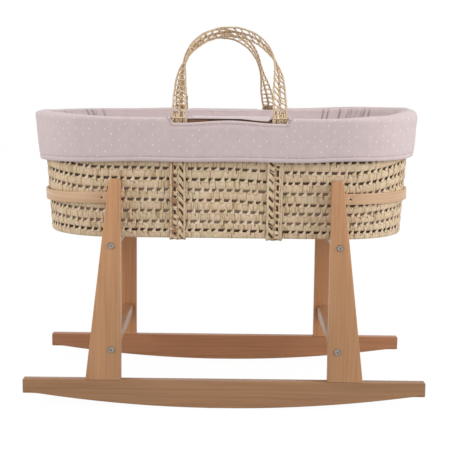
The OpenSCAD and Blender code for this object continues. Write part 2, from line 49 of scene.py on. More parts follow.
def makeCamera():
    data = bpy.data.cameras.new("camera")
    data.lens = view["lens"]
    data.sensor_width = view["sensor"]
    camera = bpy.data.objects.new("camera", data)
    turn = Matrix.Rotation(math.radians(view["yaw"]), 4, "Z")
    turn = turn @ Matrix.Rotation(math.radians(90 - view["pitch"]), 4, "X")
    turn = turn @ Matrix.Rotation(math.radians(view["roll"]), 4, "Z")
    camera.matrix_world = Matrix.Translation(view["place"]) @ turn
    scene.collection.objects.link(camera)
    scene.camera = camera


makeCamera()
print("camera placed")


# small helpers for node trees
def place(tree, kind, **values):
    made = tree.nodes.new(kind)
    for key, value in values.items():
        setattr(made, key, value)
    return made


def put(tree, socket, value):
    if hasattr(value, "is_output"):
        tree.links.new(value, socket)
    else:
        socket.default_value = value


def maths(tree, operation, a, b=0.0, c=0.0):
    made = place(tree, "ShaderNodeMath", operation=operation)
    for socket, value in zip(made.inputs, (a, b, c)):
        put(tree, socket, value)
    return made.outputs[0]


def times(tree, a, b):
    return maths(tree, "MULTIPLY", a, b)


def split(tree, where):
    made = place(tree, "ShaderNodeSeparateXYZ")
    put(tree, made.inputs[0], where)
    return made.outputs


def join(tree, x, y):
    made = place(tree, "ShaderNodeCombineXYZ")
    put(tree, made.inputs[0], x)
    put(tree, made.inputs[1], y)
    return made.outputs[0]


def scaled(tree, where, factors):
    made = place(tree, "ShaderNodeVectorMath", operation="MULTIPLY")
    put(tree, made.inputs[0], where)
    made.inputs[1].default_value = factors
    return made.outputs[0]


def noise(tree, where, scale=1.0, detail=4.0, rough=0.55):
    made = place(tree, "ShaderNodeTexNoise")
    put(tree, made.inputs["Vector"], where)
    made.inputs["Scale"].default_value = scale
    made.inputs["Detail"].default_value = detail
    made.inputs["Roughness"].default_value = rough
    return made.outputs[0]


def spread(tree, value, low, high, toLow=0.0, toHigh=1.0):
    made = place(tree, "ShaderNodeMapRange", interpolation_type="SMOOTHSTEP")
    for socket, v in zip(made.inputs, (value, low, high, toLow, toHigh)):
        put(tree, socket, v)
    return made.outputs[0]


def blendColour(tree, share, a, b, kind="MIX"):
    made = place(tree, "ShaderNodeMix", data_type="RGBA", blend_type=kind)
    put(tree, made.inputs[0], share)
    put(tree, made.inputs[6], a)
    put(tree, made.inputs[7], b)
    return made.outputs[2]


def tone(*levels):
    # linear colour from the usual 0 to 255 levels
    scaledLevels = [v / 255 for v in levels]
    linear = [v / 12.92 if v <= 0.04045 else ((v + 0.055) / 1.055) ** 2.4 for v in scaledLevels]
    return (*linear, 1.0)


colour, vector, number = "NodeSocketColor", "NodeSocketVector", "NodeSocketFloat"


def startGroup(name, inputs):
    # each group puts out a colour, a roughness and a height for the relief
    tree = bpy.data.node_groups.new(name, "ShaderNodeTree")
    for label, kind in inputs:
        tree.interface.new_socket(label, in_out="INPUT", socket_type=kind)
    for label, kind in (("Color", colour), ("Roughness", number), ("Height", number)):
        tree.interface.new_socket(label, in_out="OUTPUT", socket_type=kind)
    return tree, place(tree, "NodeGroupInput").outputs, place(tree, "NodeGroupOutput").inputs


# grain of beech: long streaks, short dark flecks and a slow change of tone
beech = {"stretch": (4.5, 190, 190), "flecks": (34, 7, 7), "drift": (0.7, 0.12, 0.12), "fleckShare": 0.5,
         "relief": (0.1, 0.0004), "polish": {"Coat Weight": 0.12, "Coat Roughness": 0.35}}


def makeGrain():
    tree, given, out = startGroup(
        "woodGrain",
        [("Vector", vector), ("Base", colour), ("Streak", colour), ("Fleck", colour), ("Tone", number)],
    )
    streak = spread(tree, noise(tree, given["Vector"], 1.0, 6.0, 0.62), 0.36, 0.68)
    fleck = spread(tree, noise(tree, scaled(tree, given["Vector"], beech["flecks"]), 1.0, 2.0), 0.62, 0.74)
    slow = noise(tree, scaled(tree, given["Vector"], beech["drift"]), 1.0, 2.0)
    body = blendColour(tree, streak, given["Base"], given["Streak"])
    body = blendColour(tree, times(tree, fleck, beech["fleckShare"]), body, given["Fleck"])
    # the slow change of tone, times the painted light tone, which is 1 where no light is painted
    drift = times(tree, spread(tree, slow, 0.3, 0.7, 0.9, 1.06), given["Tone"])
    shade = place(tree, "ShaderNodeCombineColor")
    for socket in shade.inputs:
        put(tree, socket, drift)
    put(tree, out["Color"], blendColour(tree, 1.0, body, shade.outputs[0], "MULTIPLY"))
    put(tree, out["Roughness"], spread(tree, streak, 0, 1, 0.4, 0.52))
    put(tree, out["Height"], maths(tree, "SUBTRACT", times(tree, streak, 0.4), fleck))
    return tree


# dry palm leaf: fine fibres along the strip, and a tone for each strip
palmLeaf = {
    "fine": (1.5, 1.5, 0.05), "coarse": (0.42, 0.42, 0.03), "lineShare": 0.32, "patchShare": 0.3, "lineDepth": 0.6,
    "paintedShadeShare": 0.85, "relief": 0.0008, "polish": {"Specular IOR Level": 0.35},
    # the lowest tones serve the painted shade of splits, dark strips, leaf sides and the topmost rows
    "tones": [(0.0, (146, 116, 104)), (0.05, (182, 137, 102)), (0.1, (197, 167, 128)), (0.26, (225, 198, 160)),
              (0.4, (239, 213, 180)), (0.52, (226, 205, 166)), (0.64, (244, 212, 184)), (0.78, (231, 213, 174)),
              (0.9, (250, 226, 199)), (1.0, (218, 198, 164))],
}


def makeLeafFibre():
    tree, given, out = startGroup("leafFibre", [("Fibre", vector), ("Strip", number), ("Dark", colour)])
    ramp = place(tree, "ShaderNodeValToRGB")
    put(tree, ramp.inputs[0], given["Strip"])
    stops, steps = palmLeaf["tones"], ramp.color_ramp.elements
    steps[0].color, steps[1].color = tone(*stops[0][1]), tone(*stops[-1][1])
    for at, levels in stops[1:-1]:
        steps.new(at).color = tone(*levels)
    fine = noise(tree, scaled(tree, given["Fibre"], palmLeaf["fine"]), 1.0, 3.0, 0.6)
    coarse = noise(tree, scaled(tree, given["Fibre"], palmLeaf["coarse"]), 1.0, 3.0, 0.6)
    lines = spread(tree, fine, 0.42, 0.7)
    patches = spread(tree, coarse, 0.44, 0.74)
    body = blendColour(tree, times(tree, lines, palmLeaf["lineShare"]), ramp.outputs[0], given["Dark"])
    body = blendColour(tree, times(tree, patches, palmLeaf["patchShare"]), body, given["Dark"])
    put(tree, out["Color"], body)
    put(tree, out["Roughness"], spread(tree, fine, 0.3, 0.7, 0.52, 0.78))
    put(tree, out["Height"], maths(tree, "SUBTRACT", coarse, times(tree, lines, palmLeaf["lineDepth"])))
    return tree


# cotton: upright ribs, a fine uneven weave, rows of small woven dots and painted shade in the gathers, in
# millimetres of cloth
cotton = {
    "rib": 1.7, "weft": 0.9, "ribShade": 0.22, "wornShade": 0.35, "foldShadeLevel": 0.78,
    "dotPitch": 26.5, "rowPitch": 10.7, "rowStart": 2.8, "dotWide": 1.15, "dotTall": 2.2, "dotLift": 1.4,
    "relief": (0.35, 0.0005),
    "polish": {"Specular IOR Level": 0.2, "Sheen Weight": 0.25, "Sheen Roughness": 0.5},
}


def makeClothWeave():
    tree, given, out = startGroup(
        "clothWeave",
        [("Cloth", vector), ("Base", colour), ("Shade", colour), ("Fold", colour), ("Dot", colour),
         ("Dots", number)],
    )
    along, up, foldShadeMask = split(tree, given["Cloth"])
    rib = maths(tree, "SINE", times(tree, along, 2 * math.pi / cotton["rib"]))
    rib = maths(tree, "MULTIPLY_ADD", rib, 0.5, 0.5)
    weft = maths(tree, "SINE", times(tree, up, 2 * math.pi / cotton["weft"]))
    rough = noise(tree, scaled(tree, given["Cloth"], (0.7, 0.45, 0.7)), 1.0, 3.0)
    slow = noise(tree, scaled(tree, given["Cloth"], (0.05, 0.04, 0.0)), 1.0, 5.0, 0.7)
    row = maths(tree, "DIVIDE", maths(tree, "ADD", up, cotton["rowStart"]), cotton["rowPitch"])
    stagger = times(tree, maths(tree, "MODULO", maths(tree, "FLOOR", row), 2.0), 0.5)
    column = maths(tree, "ADD", maths(tree, "DIVIDE", along, cotton["dotPitch"]), stagger)
    # each dot strays a little from its place and has its own strength
    chance = place(tree, "ShaderNodeTexWhiteNoise")
    put(tree, chance.inputs["Vector"], join(tree, maths(tree, "FLOOR", column), maths(tree, "FLOOR", row)))
    aside, over, strength = split(tree, chance.outputs["Color"])
    away = []
    for cell, middle, pitch, size in (
        (column, spread(tree, aside, 0.0, 1.0, 0.46, 0.54), cotton["dotPitch"], cotton["dotWide"]),
        (row, spread(tree, over, 0.0, 1.0, 0.42, 0.58), cotton["rowPitch"], cotton["dotTall"]),
    ):
        off = maths(tree, "SUBTRACT", maths(tree, "FRACT", cell), middle)
        away.append(maths(tree, "POWER", times(tree, off, pitch / size), 2.0))
    dot = spread(tree, maths(tree, "ADD", *away), 1.25, 0.5)
    patches = noise(tree, scaled(tree, given["Cloth"], (0.03, 0.09, 0.0)), 1.0, 1.0)
    uneven = spread(tree, patches, 0.3, 0.7, 0.55, 1.0)
    uneven = times(tree, uneven, spread(tree, strength, 0.0, 0.8, 0.45, 1.25))
    dot = times(tree, times(tree, dot, uneven), given["Dots"])
    worn = spread(tree, rough, 0.35, 0.7)
    body = blendColour(tree, times(tree, worn, cotton["wornShade"]), given["Base"], given["Shade"])
    body = blendColour(tree, times(tree, rib, cotton["ribShade"]), body, given["Shade"])
    body = blendColour(tree, spread(tree, slow, 0.3, 0.7, 0.0, 0.5), body, given["Shade"])
    # painted shade: the cloth darkens towards the fold shade colour where the gathers are deep
    body = blendColour(tree, spread(tree, foldShadeMask, 0.1, 1.0, 0.0, 0.5), body, given["Fold"])
    put(tree, out["Color"], blendColour(tree, dot, body, given["Dot"]))
    put(tree, out["Roughness"], spread(tree, rough, 0.2, 0.8, 0.82, 0.95))
    lift = maths(tree, "MULTIPLY_ADD", weft, 0.12, times(tree, rib, -0.5))
    put(tree, out["Height"], maths(tree, "MULTIPLY_ADD", dot, cotton["dotLift"], lift))
    return tree


grainGroup, leafGroup, clothGroup = makeGrain(), makeLeafFibre(), makeClothWeave()


def startMaterial(name):
    made = bpy.data.materials.new(name)
    made.use_nodes = True
    tree = made.node_tree
    return made, tree, tree.nodes["Principled BSDF"]


def dress(tree, shader, body, rough, height, bump, depth, polish):
    # colour, roughness and relief into the shader, and the values that are the same all over
    put(tree, shader.inputs["Base Color"], body)
    put(tree, shader.inputs["Roughness"], rough)
    relief = place(tree, "ShaderNodeBump")
    relief.inputs["Strength"].default_value = bump
    relief.inputs["Distance"].default_value = depth
    put(tree, relief.inputs["Height"], height)
    put(tree, shader.inputs["Normal"], relief.outputs[0])
    for label, value in polish.items():
        shader.inputs[label].default_value = value


def useGroup(tree, group, **values):
    made = place(tree, "ShaderNodeGroup", node_tree=group)
    for key, value in values.items():
        put(tree, made.inputs[key], value)
    return made


def readAttribute(tree, name):
    return place(tree, "ShaderNodeAttribute", attribute_name=name)


def makeWood(name, grainAxis, base, streak, fleck, paintedTopLight=None):
    made, tree, shader = startMaterial(name)
    where = place(tree, "ShaderNodeTexCoord").outputs["Object"]
    if grainAxis == "bend":
        # the grain follows the band round its bend, so only height counts across it
        x, y, z = split(tree, where)
        along = join(tree, maths(tree, "ADD", x, y), z)
    else:
        turn = {"x": (0, 0, 0), "y": (0, 0, -math.pi / 2), "z": (0, math.pi / 2, 0)}[grainAxis]
        lay = place(tree, "ShaderNodeMapping")
        put(tree, lay.inputs[0], where)
        lay.inputs["Rotation"].default_value = turn
        along = lay.outputs[0]
    # painted light: a board may grow paler from one height to another, as if lit more from above
    grain = useGroup(
        tree, grainGroup, Vector=scaled(tree, along, beech["stretch"]),
        Base=tone(*base), Streak=tone(*streak), Fleck=tone(*fleck),
        Tone=spread(tree, split(tree, where)[2], *paintedTopLight) if paintedTopLight else 1.0,
    ).outputs
    dress(tree, shader, *grain, *beech["relief"], beech["polish"])
    return made


def makeLeaf(name, dark, bump=0.5):
    made, tree, shader = startMaterial(name)
    fibre = useGroup(
        tree, leafGroup, Fibre=readAttribute(tree, "fibre").outputs["Vector"],
        Strip=readAttribute(tree, "strip").outputs["Fac"], Dark=tone(*dark),
    ).outputs
    dress(tree, shader, *fibre, bump, palmLeaf["relief"], palmLeaf["polish"])
    return made


def makePaintedShadeLeaf(name, dark, deep, pale):
    # painted shade: dark leaf behind the weave, from deep to pale by each face's tone
    made, tree, shader = startMaterial(name)
    fibre = useGroup(
        tree, leafGroup, Fibre=readAttribute(tree, "fibre").outputs["Vector"], Strip=0.0, Dark=tone(*dark)
    ).outputs
    level = blendColour(tree, readAttribute(tree, "strip").outputs["Fac"], tone(*deep), tone(*pale))
    put(tree, shader.inputs["Base Color"], blendColour(tree, palmLeaf["paintedShadeShare"], fibre["Color"], level))
    put(tree, shader.inputs["Roughness"], fibre["Roughness"])
    return made


def makeCloth(name, base, shade, dot, dots):
    made, tree, shader = startMaterial(name)
    cloth = useGroup(
        tree, clothGroup, Cloth=readAttribute(tree, "cloth").outputs["Vector"], Base=tone(*base),
        # the fold shade colour is the shade colour darkened, painted shade for the gathers
        Shade=tone(*shade), Fold=tone(*[cotton["foldShadeLevel"] * level for level in shade]), Dot=tone(*dot),
        # faces of a dotted piece carry how strong the dots are
        Dots=times(tree, readAttribute(tree, "strip").outputs["Fac"], dots) if dots else 0.0,
    ).outputs
    dress(tree, shader, *cloth, *cotton["relief"], cotton["polish"])
    return made


steel = {"smudge": 420.0, "relief": (0.1, 0.0002), "polish": {"Metallic": 1.0}}


def makeMetal(name, bright, dull, low, high):
    made, tree, shader = startMaterial(name)
    where = place(tree, "ShaderNodeTexCoord").outputs["Object"]
    smudge = noise(tree, where, steel["smudge"], 4.0)
    body = blendColour(tree, spread(tree, smudge, 0.35, 0.7), tone(*bright), tone(*dull))
    rough = spread(tree, smudge, 0.3, 0.7, low, high)
    dress(tree, shader, body, rough, smudge, *steel["relief"], steel["polish"])
    return made


rockerWood = makeWood("rockerBeech", "x", (169, 125, 87), (156, 112, 76), (120, 81, 52))
# painted light: the back rocker and back legs are brighter, more saturated copies of the same beech, standing in for
# light that the front parts keep from them
backRockerLitWood = makeWood("backRockerBeechPaintedLight", "x", (184, 127, 85), (171, 114, 75), (134, 84, 52))
# painted light: the front legs grow paler towards the top, as if lit more from above
legWood = makeWood("legBeech", "z", (191, 142, 100), (179, 130, 89), (141, 97, 63), (0.14, 0.40, 1.0, 1.2))
backLegLitWood = makeWood("backLegBeechPaintedLight", "z", (204, 146, 100), (191, 133, 89), (151, 99, 62))
railWood = makeWood("railBeech", "y", (182, 135, 96), (168, 121, 84), (129, 87, 57))
bandWood = makeWood("bentBand", "bend", (209, 171, 135), (198, 159, 122), (170, 128, 93))
dowelWood = makeWood("dowelBeech", "z", (206, 170, 132), (190, 150, 112), (140, 100, 70))
zincSteel = makeMetal("zincSteel", (172, 165, 156), (118, 112, 105), 0.32, 0.5)
darkSteel = makeMetal("darkSteel", (70, 58, 50), (46, 38, 32), 0.45, 0.65)
leafWall = makeLeaf("palmLeafWall", (126, 104, 78))
leafBraid = makeLeaf("palmBraid", (106, 74, 46), 0.6)
# painted shade: dark leaf put inside the weave and behind the straps
leafPaintedShade = makePaintedShadeLeaf("palmLeafPaintedShade", (58, 42, 28), (56, 38, 26), (176, 154, 140))
linerCloth = makeCloth("linerDotCotton", (223, 205, 205), (208, 189, 189), (248, 240, 238), 0.75)
linerPlain = makeCloth("linerPlainCotton", (227, 211, 212), (210, 193, 194), (252, 242, 240), 0.0)
bindingCloth = makeCloth("bindingCotton", (227, 208, 207), (210, 190, 190), (252, 242, 240), 0.0)
padCloth = makeCloth("mattressCotton", (238, 236, 230), (222, 219, 212), (246, 244, 240), 0.0)
threadCloth = makeCloth("threadCotton", (221, 199, 200), (197, 176, 178), (221, 199, 200), 0.0)
print("materials made:", len(bpy.data.materials))


# stage: white floor and surround, soft light from above and both sides
stage = {"floorSize": 14.0, "floorDrop": 0.0004, "floorTone": 0.5, "glow": 1.07, "surround": 0.65,
         "shadowShare": 0.1}
lamps = [  # name, place, aim, size and power
    ("rightLamp", (2.2, -1.1, 1.3), (0.0, 0.0, 0.5), 1.5, 30.0),
    ("leftLamp", (-2.2, -1.1, 1.25), (0.0, 0.0, 0.5), 1.5, 20.5),
    ("topLamp", (0.0, 0.3, 2.6), (0.0, 0.0, 0.4), 2.0, 3.0),
]


def rayIsSeen(tree):
    # rays that show the background itself: from the camera, or through gloss and glass
    path = place(tree, "ShaderNodeLightPath").outputs
    seen = maths(tree, "MAXIMUM", path["Is Camera Ray"], path["Is Glossy Ray"])
    return maths(tree, "MAXIMUM", seen, path["Is Transmission Ray"])


def pickShader(tree, share, lit, shown, end):
    # lit by the lamps, or shown as the white background
    pick = place(tree, "ShaderNodeMixShader")
    for socket, value in zip(pick.inputs, (share, lit.outputs[0], shown.outputs[0])):
        put(tree, socket, value)
    put(tree, place(tree, end).inputs[0], pick.outputs[0])


def clearTree(owner):
    owner.use_nodes = True
    owner.node_tree.nodes.clear()
    return owner.node_tree


def makeSurround():
    scene.world = bpy.data.worlds.new("surround")
    tree = clearTree(scene.world)
    lit, shown = place(tree, "ShaderNodeBackground"), place(tree, "ShaderNodeBackground")
    for back in (lit, shown):
        back.inputs["Color"].default_value = (1, 1, 1, 1)
    lit.inputs["Strength"].default_value = stage["surround"]
    pickShader(tree, rayIsSeen(tree), lit, shown, "ShaderNodeOutputWorld")


def makeFloor():
    half, drop = stage["floorSize"] / 2, -stage["floorDrop"]
    mesh = bpy.data.meshes.new("floor")
    corners = [(x * half, y * half, drop) for x, y in ((-1, -1), (1, -1), (1, 1), (-1, 1))]
    mesh.from_pydata(corners, [], [(0, 1, 2, 3)])
    floor = bpy.data.objects.new("floor", mesh)
    scene.collection.objects.link(floor)
    paper = bpy.data.materials.new("floorPaper")
    tree = clearTree(paper)
    matt, glow = place(tree, "ShaderNodeBsdfDiffuse"), place(tree, "ShaderNodeEmission")
    matt.inputs["Color"].default_value = (*[stage["floorTone"]] * 3, 1)
    glow.inputs["Strength"].default_value = stage["glow"]
    share = times(tree, rayIsSeen(tree), 1 - stage["shadowShare"])
    pickShader(tree, share, matt, glow, "ShaderNodeOutputMaterial")
    mesh.materials.append(paper)


def makeLamps():
    for name, where, aim, size, power in lamps:
        data = bpy.data.lights.new(name, "AREA")
        data.size = size
        data.energy = power
        lamp = bpy.data.objects.new(name, data)
        lamp.location = where
        lamp.visible_camera = False
        to = [b - a for a, b in zip(where, aim)]
        lamp.rotation_euler = (
            math.atan2(math.hypot(to[0], to[1]), -to[2]), 0, math.atan2(to[1], to[0]) - math.pi / 2
        )
        scene.collection.objects.link(lamp)


makeSurround()
makeFloor()
makeLamps()
print("stage and lamps placed")

# stand: the CAD boards keep their shape, with softened edges and their own wood
standFinish = {  # finish, how far the edges are softened, and the nodes
    "rockers": (rockerWood, 0.0016, ["front_rocker"]),
    # the back rockers and back legs take the brighter copies of the beech, painted light
    "backRockersPaintedLight": (backRockerLitWood, 0.0016, ["back_rocker"]),
    "legs": (legWood, 0.0024, ["front_left_leg", "front_right_leg"]),
    "backLegsPaintedLight": (backLegLitWood, 0.0024, ["back_left_leg", "back_right_leg"]),
    "rails": (railWood, 0.0006, ["left_upper_rail", "right_upper_rail", "left_lower_rail", "right_lower_rail"]),
    "bands": (bandWood, 0.0009, ["left_end_band", "right_end_band"]),
    "bolts": (zincSteel, 0, ["rail_bolts", "cross_nuts", "band_screws"]),
    "tacks": (darkSteel, 0, ["band_tacks"]),
    "dowels": (dowelWood, 0, ["rail_dowels", "leg_dowels"]),
}
boardEdge = {"segments": 3, "sharp": 28, "weld": 0.00002}


def softenEdges(board, width):
    weld = board.modifiers.new("weld", "WELD")
    weld.merge_threshold = boardEdge["weld"]
    bevel = board.modifiers.new("softEdge", "BEVEL")
    bevel.width = width
    bevel.segments = boardEdge["segments"]
    bevel.limit_method = "ANGLE"
    bevel.angle_limit = math.radians(boardEdge["sharp"])
    bevel.harden_normals = True


def finishStand():
    for material, width, names in standFinish.values():
        for name in names:
            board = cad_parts[name]
            board.data.materials.clear()
            board.data.materials.append(material)
            if width:
                softenEdges(board, width)


finishStand()
print("stand finished:", ", ".join(standFinish))

# the oval that the basket, liner and pads are drawn round: corner centres, heights and radii in metres
basket = {
    "cornerX": 0.224, "cornerY": 0.028, "midRadius": 0.156,
    "footZ": 0.3443, "rimZ": 0.5843, "footRadius": 0.146, "rimRadius": 0.162, "wall": 0.009,
}


def wallRadius(z):
    share = (z - basket["footZ"]) / (basket["rimZ"] - basket["footZ"])
    return basket["footRadius"] + (basket["rimRadius"] - basket["footRadius"]) * share


quarter = math.pi / 2 * basket["midRadius"]
runs = [basket["cornerX"], quarter, 2 * basket["cornerY"], quarter, 2 * basket["cornerX"], quarter,
        2 * basket["cornerY"], quarter, basket["cornerX"]]
runEnds = np.concatenate([[0.0], np.cumsum(runs)])
ovalLength = float(runEnds[-1])
frontMiddle = float(runEnds[4]) + basket["cornerX"]


def stackParts(*parts):
    return np.stack(np.broadcast_arrays(*parts), axis=-1)


def circle(count):
    return np.linspace(0, 2 * math.pi, count, endpoint=False)


def roundOval(count):
    return np.linspace(0, ovalLength, count, endpoint=False)


def pathRun(a, b):
    # distance along a path through points
    return np.concatenate([[0], np.cumsum(np.hypot(np.diff(a), np.diff(b)))])


def ovalPoints(along, radius, z):
    # points at a distance along the oval, from the middle of the back and round by the left end
    cx, cy = basket["cornerX"], basket["cornerY"]
    along = np.mod(np.asarray(along, float), ovalLength)
    baseX = np.interp(along, runEnds, [0, -cx, -cx, -cx, -cx, cx, cx, cx, cx, 0])
    baseY = np.interp(along, runEnds, [cy, cy, cy, -cy, -cy, -cy, -cy, cy, cy, cy])
    angle = np.radians(np.interp(along, runEnds, [90, 90, 180, 180, 270, 270, 360, 360, 450, 450]))
    return stackParts(baseX + radius * np.cos(angle), baseY + radius * np.sin(angle), z)


def roundDistance(along, at):
    # signed distance round the oval, the short way
    return (along - at + ovalLength / 2) % ovalLength - ovalLength / 2


# meshes are gathered in a stock of points and faces, then made into one piece
def newStock():
    return {"points": [], "faces": [], "fibre": [], "strip": [], "count": 0}


def addGrid(stock, points, fibre, strip, wrapRows=False, wrapColumns=False, caps=False):
    rows, columns = points.shape[:2]
    index = np.arange(rows * columns).reshape(rows, columns) + stock["count"]
    below = np.roll(index, -1, axis=0) if wrapRows else index[1:]
    above = index if wrapRows else index[:-1]
    if wrapColumns:
        nextAbove, nextBelow = np.roll(above, -1, axis=1), np.roll(below, -1, axis=1)
        quads = np.stack([above, nextAbove, nextBelow, below], axis=-1)
    else:
        quads = np.stack([above[:, :-1], above[:, 1:], below[:, 1:], below[:, :-1]], axis=-1)
    tones = np.broadcast_to(np.asarray(strip, float), quads.shape[:2]).reshape(-1)
    stock["points"].append(points.reshape(-1, 3))
    stock["fibre"].append(np.broadcast_to(fibre, points.shape).reshape(-1, 3))
    stock["faces"].extend(quads.reshape(-1, 4).tolist())
    stock["strip"].extend(tones.tolist())
    if caps:
        stock["faces"].append(index[0][::-1].tolist())
        stock["faces"].append(index[-1].tolist())
        stock["strip"].extend([float(tones[0]), float(tones[-1])])
    stock["count"] += rows * columns


def capOval(stock, count, size, ring, flip):
    # close an oval loop by strips from front to back and one face at each straight end
    end = int(count * (0.25 - basket["cornerY"] / ovalLength))
    for start in (0, count // 2):
        loops = [(i, i + 1, count // 2 - i - 1, count // 2 - i) for i in range(start, start + end)]
        loops.append(range(start + end, start + count // 2 - end + 1))
        for loop in loops:
            face = [k % count * size + ring for k in loop]
            stock["faces"].append(face[::-1] if flip else face)
            stock["strip"].append(0.0)


def makePiece(name, stock, material, attribute="fibre", crease=None):
    mesh = bpy.data.meshes.new(name)
    points = np.concatenate(stock["points"])
    mesh.from_pydata(points.tolist(), [], stock["faces"])
    mesh.attributes.new(attribute, "FLOAT_VECTOR", "POINT").data.foreach_set(
        "vector", np.concatenate(stock["fibre"]).astype(np.float32).ravel()
    )
    strips = np.array(stock["strip"], np.float32)
    mesh.attributes.new("strip", "FLOAT", "FACE").data.foreach_set("value", strips)
    mesh.polygons.foreach_set("use_smooth", np.ones(len(mesh.polygons), bool))
    mesh.materials.append(material)
    mesh.validate()
    solid = bmesh.new()
    solid.from_mesh(mesh)
    bmesh.ops.recalc_face_normals(solid, faces=solid.faces)
    solid.to_mesh(mesh)
    solid.free()
    mesh.update()
    if crease:
        mesh.set_sharp_from_angle(angle=math.radians(crease))
    piece = bpy.data.objects.new(name, mesh)
    scene.collection.objects.link(piece)
    return piece


def ease(t, start=0.0, over=1.0):
    # smooth step from 0 to 1, from a start over a distance
    t = np.clip((t - start) / over, 0, 1)
    return t * t * (3 - 2 * t)


def roundRim(marks, along):
    # smooth values between marks round the oval
    at = np.array([m[0] for m in marks] + [ovalLength])
    value = np.array([m[1] for m in marks] + [marks[0][1]])
    along = np.mod(along, ovalLength)
    k = np.clip(np.searchsorted(at, along, side="right") - 1, 0, len(at) - 2)
    return value[k] + (value[k + 1] - value[k]) * ease(along, at[k], at[k + 1] - at[k])


# woven wall: wrapped rows, slanted bridging strands in the gaps between them, and painted shade inside
weave = {
    "gaps": [0.3603, 0.3778, 0.3991, 0.4212, 0.4423, 0.4636, 0.4852, 0.5065, 0.5278, 0.5491, 0.5704],
    "endRise": [0.0010, 0.0042, 0.0055, 0.0070, 0.0110, 0.0120, 0.0132, 0.0132, 0.0100, 0.0065, 0.0030],
    "endMarks": [(0.0, 0.0), (0.24, 0.0), (0.44, 1.0), (0.56, 1.0), (0.75, 0.16), (0.83, 0.08), (0.95, 0.0),
                 (1.24, 0.0), (1.43, 1.0), (1.56, 1.0), (1.75, 0.0)],
    "dip": [0.0022, 0.0025, 0.0044, 0.0080, 0.0062, 0.0064, 0.0062, 0.0062, 0.0040, 0.0025, 0.0012],
    "dipMarks": [(0.0, 0.0), (1.0, 0.0), (1.06, 0.45), (1.11, 1.0), (1.25, 1.0), (1.42, 0.0)],
    "gapTone": [0.15, 0.95, 0.8, 0.4, 0.8, 0.1, 0.3, 0.3, 0.2, 0.2, 0.2],
    "halfGap": 0.0024, "square": 2.7, "samples": 960, "hiddenSamples": 320, "hiddenFrom": 0.512,
    "section": [-90, -68, -44, -20, 4, 28, 52, 74, 90, 140, 180, 220], "upperFace": slice(4, 9),
    "rib": (0.0003, 0.0009), "missing": 0.08, "missingDepth": 0.0007, "inset": 0.0008, "hiddenInset": 0.0018,
    "splits": 0.28, "splitDepth": 0.0011, "lines": 0.13, "lineTone": 0.1, "dullTone": 0.04, "slant": 0.1,
    "bridges": 124, "bridgeReach": 0.0058, "bridgeRight": 0.0026, "bridgeLeft": 0.0014, "bridgeFoot": 0.0056,
    "bridgeInset": 0.0010, "bridgeThick": 0.0007, "bridgeWaist": 0.0009, "bridgeTones": (0.5, 0.95), "seed": 71,
}
# band of painted shade inside the wall
core = {"samples": 240, "footRise": 0.006, "rimDrop": 0.004, "outer": 0.0026, "inner": 0.0016, "edgeTone": 0.1}


def gapHeight(index, along):
    # gaps rise round both ends and dip on the right, the upper ones most
    along = np.asarray(along, float)
    turn = 2 * math.pi * along / ovalLength
    height = weave["gaps"][index] + 0.0004 * np.sin(13 * turn + 2 * index)
    height += weave["endRise"][index] * roundRim(weave["endMarks"], along)
    return height - weave["dip"][index] * roundRim(weave["dipMarks"], along)


def weaveRow(stock, index, places, draw):
    shown = index == 0 or weave["gaps"][index - 1] < weave["hiddenFrom"]
    count = weave["samples"] if shown else weave["hiddenSamples"]
    along = np.arange(count) / count * ovalLength
    last = len(weave["gaps"])
    low = gapHeight(index - 1, along) + weave["halfGap"] if index else basket["footZ"] + 0 * along
    high = gapHeight(index, along) - weave["halfGap"] if index < last else basket["rimZ"] + 0 * along
    halfThick = basket["wall"] / 2
    angles = np.radians(weave["section"])
    upperFace = weave["upperFace"]
    power = 2 / weave["square"]
    outward = halfThick * np.sign(np.cos(angles)) * np.abs(np.cos(angles)) ** power
    upward = np.sign(np.sin(angles)) * np.abs(np.sin(angles)) ** power
    bulge = np.clip(outward / halfThick, 0, 1)
    ridge = np.where(np.arange(count) % 2 == 0, 0.0, 1.0) * draw.uniform(*weave["rib"], count)
    ridge -= np.where(draw.random(count) < weave["missing"], weave["missingDepth"], 0.0)
    ridge = np.repeat(ridge[:, None], len(angles), axis=1) - weave["inset" if shown else "hiddenInset"]
    # tones change from strip to strip, and slowly over a few strips
    strips = np.repeat(draw.random((count + 1) // 2), 2)
    marks = np.arange(0, count + 9, 9)
    wide = np.interp(np.arange(count), marks, draw.random(len(marks)))
    tones = 0.14 + 0.86 * (0.5 * np.roll(strips, -1)[:count] + 0.5 * wide)
    tones = np.where(draw.random(count) < weave["lines"], weave["lineTone"], tones)
    # painted shade: the topmost rows, seen only down the handle slots, are darkened as if shaded in the slot
    tones = tones * (1.0 if index < last - 1 else weave["dullTone"])
    tones = np.repeat(tones[:, None], len(angles), axis=1)
    for at in places:
        # a split runs down from the left end of some gaps: a shallow groove, darkened with painted shade
        if draw.random() < weave["splits"]:
            column = int(round((at + weave["bridgeRight"]) % ovalLength / ovalLength * count)) % count
            ridge[column, upperFace] -= weave["splitDepth"]
            tones[column, upperFace] = 0.0
    lean = draw.uniform(-weave["slant"], weave["slant"])
    lean = lean + 0.08 * np.sin(along * 2 * math.pi * 9 / ovalLength + draw.uniform(0, 6))
    rise = ((high - low) / 2)[:, None] * upward[None, :]
    z = ((high + low) / 2)[:, None] + rise
    radius = wallRadius(z) - halfThick + outward[None, :] + ridge * bulge[None, :]
    points = ovalPoints(along[:, None] + lean[:, None] * rise, radius, z)
    addGrid(stock, points, points * 1000, tones, wrapRows=True, wrapColumns=True)


